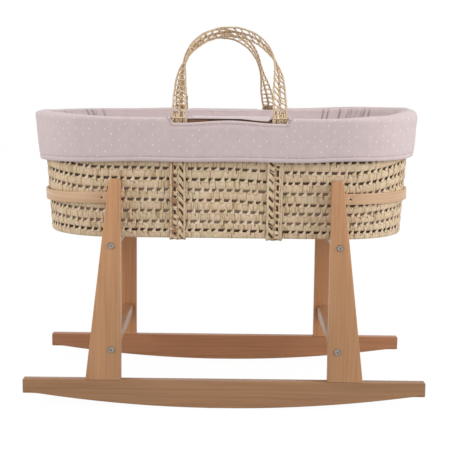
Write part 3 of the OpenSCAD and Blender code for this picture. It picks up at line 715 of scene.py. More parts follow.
def weaveBridges(stock, index, places, draw):
    ring = np.array([[-1, 0], [-0.55, 1], [0.55, 1], [1, 0], [0.55, -1], [-0.55, -1]], float)
    up = np.linspace(0, 1, 6)
    for here in places:
        right = weave["bridgeRight"] + draw.uniform(-0.0006, 0.0008)
        foot = weave["bridgeFoot"] + draw.uniform(-0.002, 0.0016)
        left = -weave["bridgeLeft"] - foot * (1 - ease(up, 0.22, 0.6))
        middle, half = (right + left) / 2, (right - left) / 2
        z = gapHeight(index, here) + (up * 2 - 1) * weave["bridgeReach"]
        waist = weave["bridgeWaist"] * np.sin(math.pi * up)
        radius = wallRadius(z) - weave["bridgeInset"] - waist + draw.uniform(-0.0002, 0.0003)
        across = middle[:, None] + half[:, None] * ring[None, :, 0]
        thick = radius[:, None] + weave["bridgeThick"] * ring[None, :, 1]
        points = ovalPoints(here + across, thick, z[:, None])
        addGrid(stock, points, points * 1000, draw.uniform(*weave["bridgeTones"]), wrapColumns=True, caps=True)


def makeWeaveWall():
    draw = np.random.default_rng(weave["seed"])
    stock = newStock()
    pitch = ovalLength / weave["bridges"]
    steps = np.arange(weave["bridges"])
    shownGaps = [i for i, z in enumerate(weave["gaps"]) if z < weave["hiddenFrom"]]
    places = {i: (steps + 0.5 * (i % 2) + draw.uniform(-0.13, 0.13, len(steps))) * pitch for i in shownGaps}
    for i in range(len(weave["gaps"]) + 1):
        weaveRow(stock, i, places.get(i, []), draw)
    for i in shownGaps:
        weaveBridges(stock, i, places[i], draw)
    wall = makePiece("weaveWall", stock, leafWall)

    # painted shade: dark band inside the rows, darker or paler from gap to gap, so that the gaps don't show the
    # lining
    inner = newStock()
    along = roundOval(core["samples"])
    middles = [(gapHeight(i, along) + gapHeight(i + 1, along)) / 2 for i in range(len(weave["gaps"]) - 1)]
    levels = [basket["footZ"] + core["footRise"]] + middles + [basket["rimZ"] - core["rimDrop"]]
    faces = [(z, core["outer"]) for z in levels] + [(z, core["inner"]) for z in (levels[-1], levels[0])]
    loop = [ovalPoints(along, wallRadius(z) - basket["wall"] + out, z) for z, out in faces]
    tones = np.array(weave["gapTone"] + [core["edgeTone"]] * 3)
    points = np.stack(loop, axis=1)
    addGrid(inner, points, points * 1000, tones[None, :], wrapRows=True, wrapColumns=True)
    shadeBand = makePiece("weavePaintedShadeCore", inner, leafPaintedShade)
    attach(wall, "basket")
    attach(shadeBand, "basket")
    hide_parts("basket_wall")


makeWeaveWall()
print("woven wall made")

# woven base: coiled rows from the foot of the wall inward, straight rows in the middle
baseCoil = {"rowWidth": 0.0171, "low": 0.3447, "high": 0.3521, "edge": 0.1364, "core": 0.012, "gap": 0.0003,
            "rib": 0.0005, "square": 0.7, "samples": 300, "middleRows": 4, "middleSamples": 90,
            "middleGap": 0.0002, "seed": 12}


def baseRow(run, mid, wide, draw):
    # breadth and height of one row, with a rib at every second point along it
    middle, half = (baseCoil["low"] + baseCoil["high"]) / 2, (baseCoil["high"] - baseCoil["low"]) / 2
    angles = circle(8)
    ridge = np.where(np.arange(len(run)) % 2 == 0, -baseCoil["rib"], 0.0) * draw.uniform(0.3, 1, len(run))
    across = mid + wide * np.cos(angles)[None, :] + 0 * run[:, None]
    rounded = np.sign(np.sin(angles)) * np.abs(np.sin(angles)) ** baseCoil["square"]
    return across, middle + (half + ridge[:, None]) * rounded


def makeWeaveBase():
    draw = np.random.default_rng(baseCoil["seed"])
    stock = newStock()
    along = roundOval(baseCoil["samples"])
    outer, rowWidth = baseCoil["edge"], baseCoil["rowWidth"]
    while outer > baseCoil["core"]:
        radius, z = baseRow(along, outer - rowWidth / 2, rowWidth / 2 - baseCoil["gap"], draw)
        points = ovalPoints(along[:, None], radius, z)
        shade = np.repeat(draw.random(len(along) // 2), 2)
        addGrid(stock, points, points[..., [2, 0, 1]] * 1000, shade[:, None], wrapRows=True, wrapColumns=True)
        outer -= rowWidth
    rows = baseCoil["middleRows"]
    spanX, spanY = basket["cornerX"] + outer, basket["cornerY"] + outer
    x = np.linspace(-spanX, spanX, baseCoil["middleSamples"])
    for k in range(rows):
        y, z = baseRow(x, spanY * (-1 + (2 * k + 1) / rows), spanY / rows - baseCoil["middleGap"], draw)
        points = stackParts(x[:, None], y, z)
        shade = np.repeat(draw.random(len(x) // 2 + 1), 2)[: len(x) - 1]
        addGrid(stock, points, points[..., [0, 2, 1]] * 1000, shade[:, None], wrapColumns=True, caps=True)
    coil = makePiece("weaveBase", stock, leafWall)
    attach(coil, "basket")
    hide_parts("basket_base")


makeWeaveBase()
print("woven base made")

# open braid for straps and handles: corded edges, a plaited spine and flared webs with holes between
braid = {"edgeThick": 0.82, "spineThick": 0.55, "leafThick": 0.5, "webThick": 0.4, "twist": 0.0125, "swell": 0.25,
         "step": 0.0026, "plait": 0.020, "outline": 0.3, "spineTint": 0.07,
         "stray": 0.0009, "webGap": 0.0014, "feet": 5, "footLeaf": 0.0024, "footTaper": 0.0010, "footInset": 0.0032}


def addStrand(stock, frames, s, w, n, wide, thick, draw, lobes=0, tint=None):
    # a leaf along s and w, with its section square to its own run, n out of the braid's face
    ds, dw = np.gradient(s), np.gradient(w)
    size = np.hypot(ds, dw)
    run = pathRun(s, w)
    angles = circle(8)[None, :]
    swell = 1
    if lobes:
        turned = angles - 2 * math.pi * run[:, None] / braid["twist"]
        swell = 1 + braid["swell"] * np.cos(lobes * turned)
    half = np.broadcast_to(wide, s.shape)[:, None] * np.cos(angles) * swell
    ringS = s[:, None] - (dw / size)[:, None] * half
    ringW = w[:, None] + (ds / size)[:, None] * half
    ringN = n[:, None] + thick * np.sin(angles) * swell
    centre, across, out = frames(ringS.ravel())
    points = centre + ringW.reshape(-1, 1) * across + ringN.reshape(-1, 1) * out
    start = draw.uniform(0, 900)
    fibre = stackParts(1000 * half, 1000 * thick * np.sin(angles), 1000 * run[:, None] + start)
    tones = 0.1 + 0.65 * draw.random() + 0.25 * np.repeat(draw.random(len(s) // 2 + 1), 2)[: len(s) - 1]
    tones = tones if tint is None else 0 * tones + tint
    # painted shade: the two sides of a leaf are darker than its face, as if shaded between the leaves
    tones = tones[:, None] * np.array([braid["outline"], 1, 1, braid["outline"]] * 2)[None, :]
    addGrid(stock, points.reshape(len(s), -1, 3), fibre, tones, wrapColumns=True, caps=True)


def addWebs(stock, frames, length, edge, half, side, column, foot, draw):
    # webs of two crossing leaves from the spine to one edge, wider at both ends
    t = np.linspace(0, 1, 9)
    for k in range(int(length / column["pitch"]) + 1):
        start = foot + (k + column["phase"]) * column["pitch"] + draw.uniform(-1, 1) * column["uneven"]
        leaves = [(start, column["web"], -1), (start, column["web"], 1)]
        if draw.random() < column["strays"]:
            leaves.append((start + column["pitch"] * draw.uniform(0.3, 0.7), braid["stray"], 0))
        for middle, wide, layer in leaves:
            run = column["run"] * draw.uniform(0.7, 1.3) + layer * braid["webGap"]
            wide = wide * draw.uniform(0.75, 1.25) + column["flare"] * (2 * t - 1) ** 2 * abs(layer)
            s = middle + run * (ease(t) - 0.5)
            if s.min() < foot or s.max() > length - foot:
                continue
            w = side * (0.0010 + (edge - 0.0008) * t)
            n = half * ((0.3 * layer + 0.25) * np.cos(math.pi * t) - 0.1 * (layer == 0))
            tint = column["tint"] if draw.random() < column["tintShare"] else None
            addStrand(stock, frames, s, w, n, wide, half * braid["webThick"], draw, tint=tint)


def addPaintedShadeStrip(stock, frames, s, half, low, high):
    # flat strip of painted shade along the braid, dark where gaps show it
    centre, across, out = frames(s)
    corners = ((-half, low), (half, low), (half, high), (-half, high))
    points = np.stack([centre + w * across + n * out for w, n in corners], axis=1)
    addGrid(stock, points, points * 1000, 0.0, wrapColumns=True, caps=True)


def addRoll(stock, frames, base, spec, draw):
    # rolled end of a handle at its hinge
    centre, across, out = frames(np.array([base]))
    run = np.cross(out, across)
    angles = circle(10)[None, :, None]
    w = np.linspace(-0.98, 0.98, 12)[:, None, None] * spec["width"] / 2
    roll = centre + w * across + spec["roll"] * (np.cos(angles) * run + np.sin(angles) * out)
    tones = draw.uniform(0.4, 0.95, (len(w) - 1, 1))
    addGrid(stock, roll, roll[..., [1, 2, 0]] * 1000, tones, wrapColumns=True, caps=True)


def makeBraid(name, frames, length, spec, columns, seed, foot):
    draw = np.random.default_rng(seed)
    stock = newStock()
    s = np.linspace(0, length, max(8, int(length / braid["step"])))
    edge, half = spec["width"] / 2 - spec["edge"], spec["thickness"] / 2
    along = 2 * math.pi * s
    for side, column in ((-1, columns[-1]), (1, columns[1])):
        drift = 0.0004 * np.sin(along / 0.041 + side) + 0.0003 * np.sin(along / column["pitch"])
        addStrand(stock, frames, s, side * edge + drift, 0 * s, spec["edge"], half * braid["edgeThick"], draw, 2)
        addWebs(stock, frames, length, edge, half, side, column, foot, draw)
        for at, wide, tint in column.get("cords", []):
            wander = side * at + 0.0006 * np.sin(along / 0.033 + at * 900)
            lift = 0.2 * half * np.sin(along / 0.017)
            addStrand(stock, frames, s, wander, lift, wide, half * braid["leafThick"], draw, 2, tint)
    for k in range(3):
        turn = 2 * math.pi * (s / braid["plait"] + k / 3)
        sway, lift = spec["spineSway"] * np.sin(turn), 0.34 * half * np.sin(2 * turn)
        tint = braid["spineTint"] if k == 0 else None
        addStrand(stock, frames, s, sway, lift, spec["spine"], half * braid["spineThick"], draw, tint=tint)
    # close leaves side by side at both feet
    t = np.linspace(0, 1, 9)
    leaf = braid["footLeaf"] - braid["footTaper"] * t ** 2
    inset = edge - braid["footInset"]
    for base, way in ((0.0, 1), (length, -1)):
        if "roll" in spec:
            addRoll(stock, frames, base, spec, draw)
            # painted shade: dark strip behind the close leaves, seen between them
            addPaintedShadeStrip(stock, frames, base + way * np.linspace(0.002, 1.15 * foot, 8), edge - 0.001, -0.0003, 0.0003)
        for spot in np.linspace(-inset, inset, braid["feet"]):
            reach = foot * draw.uniform(0.9, 1.35)
            w = spot * (1 - 0.08 * t) + 0.0006 * np.sin(3 * t + spot * 900)
            n = half * (draw.uniform(-0.35, 0.35) + 0 * t)
            addStrand(stock, frames, base + way * reach * t, w, n, leaf, half * braid["leafThick"], draw)
    return makePiece(name, stock, leafBraid)


# handles: flat at the feet, a quarter turn on the way up, on edge over the crown
handle = {"half": 0.100, "straight": 0.110, "power": 2.05, "width": 0.029, "thickness": 0.0043,
          "pivotY": 0.19255, "pivotZ": 0.58685, "crownY": 0.01261, "swayShare": 0.6, "foot": 0.0145, "roll": 0.0018,
          "edge": 0.0020, "spine": 0.0013, "spineSway": 0.0014, "reach": 0.004}
handles = {"front": {"length": 0.249, "side": -1, "shift": 0.005, "sway": 0.0, "drawIn": 0.0, "turn": 0.95,
                     "pitch": 0.0160, "seed": 5},
           "back": {"length": 0.247, "side": 1, "shift": -0.005, "sway": 0.008, "drawIn": 0.013, "turn": 0.6,
                    "pitch": 0.0144, "seed": 9}}

# carrying straps: down the front, under the base and up the back
strap = {"x": 0.097, "width": 0.032, "thickness": 0.0042, "top": 0.5848, "rimY": 0.19255, "footY": 0.17655,
         "footZ": 0.3462, "underY": 0.1722, "underZ": 0.34185, "shadeBacking": 0.024, "closed": 0.024,
         "lean": (0.506, 0.066), "reach": 0.002, "seeds": {"left": 31, "right": 47},
         "edge": 0.0024, "spine": 0.0016, "spineSway": 0.0021}
braidColumn = {"flare": 0.0014, "uneven": 0.0024, "strays": 0.35, "tint": 0.05, "tintShare": 0.0}
strapColumns = {
    "left": {-1: dict(braidColumn, pitch=0.0150, web=0.0040, run=-0.004, phase=0.3, tintShare=0.4,
                      cords=[(0.0095, 0.0016, 0.05)]),
             1: dict(braidColumn, pitch=0.0172, web=0.0032, flare=0.0036, run=0.009, phase=0.0)},
    "right": {-1: dict(braidColumn, pitch=0.0180, web=0.0040, flare=0.0038, run=-0.007, phase=0.1),
              1: dict(braidColumn, pitch=0.0140, web=0.0028, flare=0.0016, run=0.002, phase=0.5,
                      cords=[(0.0098, 0.0018, None)])},
}
handleColumn = dict(braidColumn, web=0.0015, flare=0.0027, run=0.005, phase=0.3, uneven=0.0014, strays=0.12)


def alongPath(s, dense, first, second, reach):
    # place on a path and its direction there, of length one
    here = [np.interp(s, dense, part) for part in (first, second)]
    ahead = [np.interp(s + reach, dense, part) - np.interp(s - reach, dense, part) for part in (first, second)]
    size = np.hypot(*ahead)
    return (*here, ahead[0] / size, ahead[1] / size)


def strapFrames(x):
    # the hidden top of a strap leans sideways to the foot of its handle
    feet = {label: math.copysign(handle["half"], x) + handles[label]["shift"] - x for label in handles}
    footY, underZ = strap["footY"], strap["underZ"]
    corner = np.array([[footY, strap["footZ"] + 0.001], [footY - 0.0007, underZ + 0.0012],
                       [strap["underY"] - 0.001, underZ]])
    t = np.linspace(0, 1, 9)[:, None]
    bend = (1 - t) ** 2 * corner[0] + 2 * t * (1 - t) * corner[1] + t ** 2 * corner[2]
    side = np.concatenate([[[strap["rimY"], strap["top"]]], bend])
    path = np.concatenate([side * [-1, 1], side[::-1]])
    dense = pathRun(path[:, 0], path[:, 1])
    length = float(dense[-1])

    def frames(s):
        s = np.clip(s, 0, length)
        y, z, dy, dz = alongPath(s, dense, path[:, 0], path[:, 1], strap["reach"])
        aside = np.where(y < 0, feet["front"], feet["back"]) * ease(z, *strap["lean"])
        zero = 0 * s
        return stackParts(x + aside, y, z), stackParts(zero + 1, zero, zero), stackParts(zero, dz, -dy)

    return frames, length


def makeStraps():
    closed = strap["closed"]
    for label, x in (("left", -strap["x"]), ("right", strap["x"])):
        frames, length = strapFrames(x)
        seed = strap["seeds"][label]
        piece = makeBraid(label + "StrapBraid", frames, length, strap, strapColumns[label], seed, closed)
        # dark strip behind the braid, which shows through its holes: the underside strands, darkened with painted
        # shade
        back = newStock()
        s = np.linspace(closed + 0.002, length - closed - 0.002, 150)
        addPaintedShadeStrip(back, frames, s, strap["shadeBacking"] / 2, -0.0018, -0.0011)
        strip = makePiece(label + "StrapShadeBacking", back, leafPaintedShade)
        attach(piece, "basket")
        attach(strip, "basket")
        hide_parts(label + "_carry_strap")


makeStraps()
print("carrying straps made")


def handleFrames(spec):
    length = spec["length"]
    a = np.radians(np.linspace(0, 180, 241))
    power = 2 / handle["power"]
    archX = handle["half"] * np.sign(np.cos(a)) * np.abs(np.cos(a)) ** power
    archZ = handle["straight"] + (length - handle["straight"]) * np.abs(np.sin(a)) ** power
    foot = np.linspace(0, handle["straight"], 12, endpoint=False)
    pathX = np.concatenate([foot * 0 + handle["half"], archX, foot * 0 - handle["half"]])
    pathZ = np.concatenate([foot, archZ, foot[::-1]])
    share = ease(pathZ / length / handle["swayShare"])
    pathX = pathX * (1 - share * spec["drawIn"] / handle["half"]) - share * spec["sway"] + spec["shift"]
    dense = pathRun(pathX, pathZ)
    whole = float(dense[-1])
    lean = -spec["side"] * math.asin((handle["pivotY"] - handle["crownY"]) / length)
    hinge = np.array([0, spec["side"] * handle["pivotY"], handle["pivotZ"]])

    def lay(x, y, z):
        # lean the upright handle about its hinge
        leanCos, leanSin = math.cos(lean), math.sin(lean)
        return stackParts(x, y * leanCos + z * leanSin, -y * leanSin + z * leanCos)

    def frames(s):
        s = np.clip(s, 0, whole)
        x, z, dx, dz = alongPath(s, dense, pathX, pathZ, handle["reach"])
        turn = math.pi / 2 * ease(z / length / spec["turn"])
        c, t = np.cos(turn), np.sin(turn)
        return lay(x, 0 * s, z) + hinge, lay(dz * c, t, -dx * c), lay(-dz * t, c, dx * t)

    return frames, whole


def makeHandles():
    for label, spec in handles.items():
        frames, length = handleFrames(spec)
        column = dict(handleColumn, pitch=spec["pitch"])
        columns = {-1: column, 1: dict(column, run=-column["run"], phase=1 - column["phase"])}
        piece = makeBraid(label + "HandleBraid", frames, length, handle, columns, spec["seed"], handle["foot"])
        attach(piece, label + "_handle_body")
        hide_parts(label + "_handle")


makeHandles()
print("handles made")

# liner: outer skirt with a padded fold over the rim, cut away at the handle slots
liner = {
    "hemZ": 0.5003, "hemRadius": 0.1675, "lean": 0.0125, "drop": 0.084, "thickness": 0.006,
    "rimZ": 0.5843, "foldGap": 0.0004, "foldIn": 0.1447, "foldOut": 0.180,
    "slotZ": 0.5783, "slotHalf": 0.1166, "slotShift": 0.005, "slotSag": 0.0030, "slotRise": 0.0024,
    "slotClose": 0.0062, "slotMiddle": 0.096, "slotFeet": 0.106, "slotEnd": (0.1115, 0.005), "squeezeFrom": 0.556,
    "wave": 0.0011, "hemWave": 0.0009, "seamDrop": 0.0056, "seamWide": 0.0016, "seamDepth": 0.0018,
    "tuckUp": (0.02, 0.06), "tuckOut": (0.160, 0.008), "innerFace": (0.1455, 0.007), "outside": (0.1625, 0.008),
    "runOut": 0.012, "runOutShare": 0.8, "bindingRadius": 0.0032, "bindingDrop": 0.0010, "ripple": (0.05, 0.0075),
    "stitchPitch": 0.0042, "stitchHalf": 0.0013, "stitchRadius": 0.00032, "crease": 55, "step": 0.0026,
    "seed": 23,
}
# lip behind each slot: how far it reaches out, and where it draws back beside the handles
slotLip = {
    "edge": 0.1616, "over": 0.0062, "overRise": 0.0012, "height": 0.0045, "overHeight": 0.0010, "beyond": 0.004,
    "drawBackRight": (0.0765, 0.006), "drawBackLeft": (0.070, 0.010), "ends": 0.0105, "endsFrom": (0.1152, 0.0040),
    "sag": 0.0042, "sagFrom": (0.012, 0.06), "sagOut": (0.1632, 0.0040),
}
# heights above the hem and below the slot, and how far the skirt bulges there
skirtFace = {
    "aboveHem": [0, 0.0008, 0.003, 0.006, 0.0078, 0.0089, 0.0100, 0.0122, 0.017, 0.024, 0.034, 0.045, 0.056, 0.064],
    "belowSlot": [0.0092, 0.0066, 0.0050, 0.0034, 0],
    "bulge": [-0.0016, -0.0003, 0.0006, 0.0007, 0.0002, -0.0011, 0.0000, 0.0005] + [0.0004] * 11,
    "seamRing": 5, "foldStart": 0.5815, "foldRound": 0.74, "foldFirstDegrees": 4,
    "under": [(0.1490, 0.0), (0.1560, 0.0), (0.1640, 0.0002), (0.1736, -0.0004)],
    "backAboveHem": [0.066, 0.05, 0.03, 0.012, 0.0004],
}
# height of the stuffed fold, how far the hem hangs low and how far the ends tuck in, at distances round the rim
# from the middle of the back
foldHeights = [(0.0, 0.5945), (0.25, 0.5885), (0.40, 0.5885), (0.52, 0.5925), (0.63, 0.5925), (0.79, 0.5872),
               (1.19, 0.5872), (1.30, 0.593), (1.40, 0.602), (1.50, 0.603), (1.67, 0.599), (1.84, 0.593)]
hemDrops = [(0.0, 0.0), (0.30, 0.0), (0.46, 0.009), (0.54, 0.009), (0.74, 0.0025), (0.86, 0.0),
            (1.14, 0.0), (1.25, -0.003), (1.43, -0.006), (1.57, -0.005), (1.76, 0.0)]
endTucks = [(0.0, 0.0), (0.30, 0.0), (0.48, 0.0026), (0.72, 0.0), (1.25, 0.0), (1.46, 0.0048), (1.70, 0.0)]
flatCloth = [1000, 1000, 0]  # cloth that lies flat is woven along X and Y, in millimetres
slotMiddles = {"front": frontMiddle + liner["slotShift"], "back": liner["slotShift"]}
lining = {"low": 0.3555, "high": 0.5846, "lowOut": 0.1374, "highOut": 0.1527, "thickness": 0.0078,
          "puff": 0.00042, "gathers": 36, "cornerGathers": 28, "depth": 0.0040, "samples": 1100, "rows": 40,
          "seed": 8,
          "marks": [0.318, 0.331, 0.405, -0.219, -0.230, -0.259, -0.321, -0.335, -0.437]}


def gatherDents(along, heights):
    # gathers deepen towards the rim and lie closest together in the corners
    draw = np.random.default_rng(lining["seed"])
    dent = np.zeros((len(along), len(heights)))
    corners = [(runEnds[i] + runEnds[i + 1]) / 2 for i in (1, 3, 5, 7)]
    for k in range(lining["gathers"]):
        if k < len(lining["marks"]):
            at, deep = lining["marks"][k], lining["depth"]
        elif k < lining["cornerGathers"]:
            at, deep = corners[k % 4] + draw.uniform(-0.15, 0.15), lining["depth"] * draw.uniform(0.4, 0.9)
        else:
            at, deep = draw.uniform(0, ovalLength), lining["depth"] * draw.uniform(0.12, 0.35)
        wide, slope, start = draw.uniform(0.0016, 0.0034), draw.uniform(0.005, 0.02), draw.uniform(-0.3, 0.35)
        # they slant down towards the middle of the basket, most near the rim
        slope = math.copysign(slope, math.sin(4 * math.pi * at / ovalLength))
        off = roundDistance(along[:, None] + slope * (1 - np.exp((heights[None, :] - 1) / 0.15)), at)
        dent += deep * np.exp(-((off / wide) ** 2)) * ease(heights[None, :], start, 1.0 - start)
    return np.minimum(dent, lining["depth"])


def skirtRadius(z):
    return liner["hemRadius"] + liner["lean"] * (z - liner["hemZ"]) / liner["drop"]


def slotEdge(x):
    # height of the slot's lower edge: highest in the middle, lowest under the handle feet
    x = np.abs(x)
    rise, sag = liner["slotRise"], liner["slotSag"]
    mid = rise - (rise + sag) * ease(x / liner["slotMiddle"])
    end = -sag + (sag + liner["slotClose"]) * ease(x, *liner["slotEnd"])
    return liner["slotZ"] + np.where(x < liner["slotFeet"], mid, end)


def skirtStations():
    even = np.arange(0, ovalLength, liner["step"])
    ends = [(m + d) % ovalLength for m in slotMiddles.values() for d in (-liner["slotHalf"], liner["slotHalf"])]
    # closer together beside the ends of the slots
    near = [(e + side * k * 0.0025) % ovalLength for e in ends for side in (-1, 1) for k in (1, 2, 3, 4)]
    keep = [v for v in even if min(abs(v - e) for e in ends + near) > 0.002]
    stations = np.array(sorted(keep + ends + near))
    return stations, np.minimum(*[np.abs(roundDistance(stations, middle)) for middle in slotMiddles.values()])


def makeSkirt():
    draw = np.random.default_rng(liner["seed"])
    hem, top, thick = liner["hemZ"], liner["slotZ"], liner["thickness"]
    # section: up the outside, over the fold, back under it and down the inside
    outerZ = [hem + z for z in skirtFace["aboveHem"]] + [top - z for z in skirtFace["belowSlot"]]
    outer = [(skirtRadius(z) + b, z, 0.0) for z, b in zip(outerZ, skirtFace["bulge"])]
    under = liner["rimZ"] + liner["foldGap"]
    foldMid, foldHalf = (liner["foldOut"] + liner["foldIn"]) / 2, (liner["foldOut"] - liner["foldIn"]) / 2
    dome = [(skirtRadius(skirtFace["foldStart"]) + 0.0003, skirtFace["foldStart"], 0.0)]
    for a in np.radians(np.linspace(skirtFace["foldFirstDegrees"], 180, 19)):
        dome.append((foldMid + foldHalf * math.cos(a), under, max(math.sin(a), 0) ** skirtFace["foldRound"]))
    beneath = [(radius, under + lift, 0.0) for radius, lift in skirtFace["under"]]
    innerZ = [top] + [hem + z for z in skirtFace["backAboveHem"]]
    inner = [(skirtRadius(z) - thick, z, 0.0) for z in innerZ]
    profile = np.array(outer + dome + beneath + inner)
    first, last = len(outer) - 1, len(outer) + len(dome) + len(beneath)
    stations, gap = skirtStations()
    turn = 2 * math.pi * stations / ovalLength
    inSlot = gap < liner["slotHalf"] - 1e-6
    count, size = len(stations), len(profile)

    rise = roundRim(foldHeights, stations) - under
    r = np.repeat(profile[None, :, 0], count, axis=0)
    z = profile[None, :, 1] + profile[None, :, 2] * rise[:, None]
    # soft waves of the cloth, outward only and strongest at the hem
    phase = draw.uniform(0, 6.28, 5)
    wave = sum((0.5 + 0.5 * np.sin(k * turn + p)) * w
               for k, p, w in zip((7, 11, 19, 31, 47), phase, (0.5, 0.4, 0.45, 0.4, 0.3)))
    low = np.clip((top - z) / (top - hem), 0, 1)
    r += liner["wave"] * wave[:, None] * (0.25 + 0.75 * low) * (z < liner["rimZ"])
    z += liner["hemWave"] * np.sin(9 * turn + phase[1])[:, None] * low ** 2
    z -= roundRim(hemDrops, stations)[:, None] * low
    upper = ease(z - hem, *liner["tuckUp"]) * ease(r, *liner["tuckOut"])
    r -= roundRim(endTucks, stations)[:, None] * upper
    # the gathers of the lining go on up the inner face of the fold
    inFace = profile[None, :, 2] > 0
    dent = gatherDents(stations, np.array([1.0])) * (1 - ease(r, *liner["innerFace"])) * inFace
    r += dent
    # the slot's edge dips over a seam, and the fold runs out into it
    seam = np.exp(-(((z - top + liner["seamDrop"]) / liner["seamWide"]) ** 2))
    seam = seam * np.where(inSlot, liner["seamDepth"], 0.0)[:, None]
    r -= seam * (np.arange(size) < len(outer))[None, :]
    base = liner["squeezeFrom"]
    squeeze = np.where(inSlot, (slotEdge(gap) - base) / (top - base), 1.0)[:, None]
    z = np.where((z > base) & (z <= top + 1e-6), base + (z - base) * squeeze, z)
    runOut = liner["runOutShare"] * (1 - ease(gap, liner["slotHalf"], liner["runOut"]))
    z = np.where(z > top + 1e-6, z - (z - top) * runOut[:, None] * ease(r, *liner["outside"]), z)

    points = ovalPoints(stations[:, None], r, z)
    run = pathRun(profile[:, 0], profile[:, 1] + 0.008 * profile[:, 2])
    # the cloth's third value is how deep the gathers are, which the material turns into painted shade
    cloth = stackParts(1000 * stations[:, None], 1000 * run[None, :], dent / lining["depth"])
    stock, dotted, seamRing = newStock(), [], skirtFace["seamRing"]
    for i in range(count):
        j = (i + 1) % count
        for k in range(size):
            m = (k + 1) % size
            upper = first <= k < last
            if upper and (inSlot[i] or inSlot[j]):
                continue
            stock["faces"].append([i * size + k, i * size + m, j * size + m, j * size + k])
            dotted.append(1.0 if seamRing < k < first + 6 else 0.0)
        if inSlot[i] or inSlot[j]:
            stock["faces"].append([i * size + first, i * size + last, j * size + last, j * size + first])
            dotted.append(0.0)
        if inSlot[i] != inSlot[j]:
            # closed end of the fold beside the slot
            at = i if inSlot[j] else j
            ring = [at * size + k for k in range(first, last + 1)]
            stock["faces"].append(ring if inSlot[j] else ring[::-1])
            dotted.append(0.0)
    used = np.zeros(count * size, bool)
    used[np.concatenate([np.array(f) for f in stock["faces"]])] = True
    remap = np.cumsum(used) - 1
    stock["points"] = [points.reshape(-1, 3)[used]]
    stock["fibre"] = [cloth.reshape(-1, 3)[used]]
    stock["faces"] = [[int(remap[v]) for v in f] for f in stock["faces"]]
    stock["strip"] = dotted
    skirt = makePiece("linerSkirt", stock, linerCloth, "cloth", liner["crease"])
    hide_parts("liner_skirt")
    hemLine = (stations, z[:, seamRing], r[:, seamRing])
    for piece in (skirt, makeLips(under), makeStitches(hemLine)):
        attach(piece, "basket")


def makeLips(under):
    # inner lip of the liner behind each slot: it overhangs the rim between the handle feet
    lips = newStock()
    reach = liner["slotHalf"] + slotLip["beyond"]
    # more stations at the ends and where the lip draws back beside a handle
    ends, back = np.linspace(0.1130, 0.1205, 9), np.linspace(0.074, 0.084, 9)
    t = np.unique(np.concatenate([np.linspace(-reach, reach, 90), -ends, ends, back]))
    between = 1 - np.where(t > 0, ease(t, *slotLip["drawBackRight"]), ease(-t, *slotLip["drawBackLeft"]))
    outEdge = slotLip["edge"] + slotLip["over"] * between
    outEdge = outEdge + slotLip["ends"] * ease(np.abs(t), *slotLip["endsFrom"])
    middle, half = (outEdge + liner["foldIn"]) / 2, (outEdge - liner["foldIn"]) / 2
    a = np.linspace(0, math.pi, 11)[None, :]
    r = middle[:, None] + half[:, None] * np.cos(a)
    z = under + slotLip["overRise"] * between[:, None] * (1 + np.cos(a)) / 2
    z = z + (slotLip["height"] + slotLip["overHeight"] * between)[:, None] * np.abs(np.sin(a)) ** 0.8
    sag = slotLip["sag"] * ease(t, *slotLip["sagFrom"]) * between
    z = z - sag[:, None] * ease(r, *slotLip["sagOut"])
    cloth = stackParts(1000 * t[:, None], 12 * a, 0.0)
    for at in slotMiddles.values():
        addGrid(lips, ovalPoints(at + t[:, None], r, z), cloth, 0.0, wrapColumns=True, caps=True)
    lip = makePiece("linerLip", lips, linerPlain, "cloth", liner["crease"])
    return lip


def makeStitches(hemLine):
    # short stitches along the hem seam
    stitches = newStock()
    along, heights, radii = hemLine
    pitch, thick = liner["stitchPitch"], liner["stitchRadius"]
    ring = circle(6)[None, :]
    lift = np.array([-0.0002, 0.0003, 0.0003, -0.0002])[:, None]
    reach = np.linspace(-liner["stitchHalf"], liner["stitchHalf"], 4)[:, None]
    for middle in np.arange(int(ovalLength / pitch)) * pitch:
        radius = np.interp(middle, along, radii) + lift + thick * np.cos(ring)
        height = np.interp(middle, along, heights) + thick * np.sin(ring) + 0 * reach
        points = ovalPoints(middle + reach, radius, height)
        addGrid(stitches, points, points * flatCloth, 0.0, wrapColumns=True, caps=True)
    return makePiece("hemStitches", stitches, threadCloth, "cloth")


def makeBindings():
    angles = circle(12)[None, :]
    reach = liner["slotHalf"] - 0.0004
    t = np.linspace(-reach, reach, 90)
    for label, middle in slotMiddles.items():
        stock = newStock()
        height = slotEdge(t) - liner["bindingDrop"]
        radius = skirtRadius(liner["slotZ"]) - liner["thickness"] / 2
        ripple = 1 + liner["ripple"][0] * np.sin(t * 2 * math.pi / liner["ripple"][1])
        a = radius + (liner["bindingRadius"] + 0.0004) * np.cos(angles) * ripple[:, None]
        b = height[:, None] + liner["bindingRadius"] * np.sin(angles)
        points = ovalPoints(middle + t[:, None], a, b)
        cloth = stackParts(1000 * t[:, None], 3 * np.cos(angles) + 9 * np.sin(angles), 0.0)
        addGrid(stock, points, cloth, 0.0, wrapColumns=True, caps=True)
        piece = makePiece(label + "SlotPiping", stock, bindingCloth, "cloth")
        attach(piece, "basket")
        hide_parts(label + "_slot_binding")


makeSkirt()
makeBindings()
print("skirt and slot piping made")


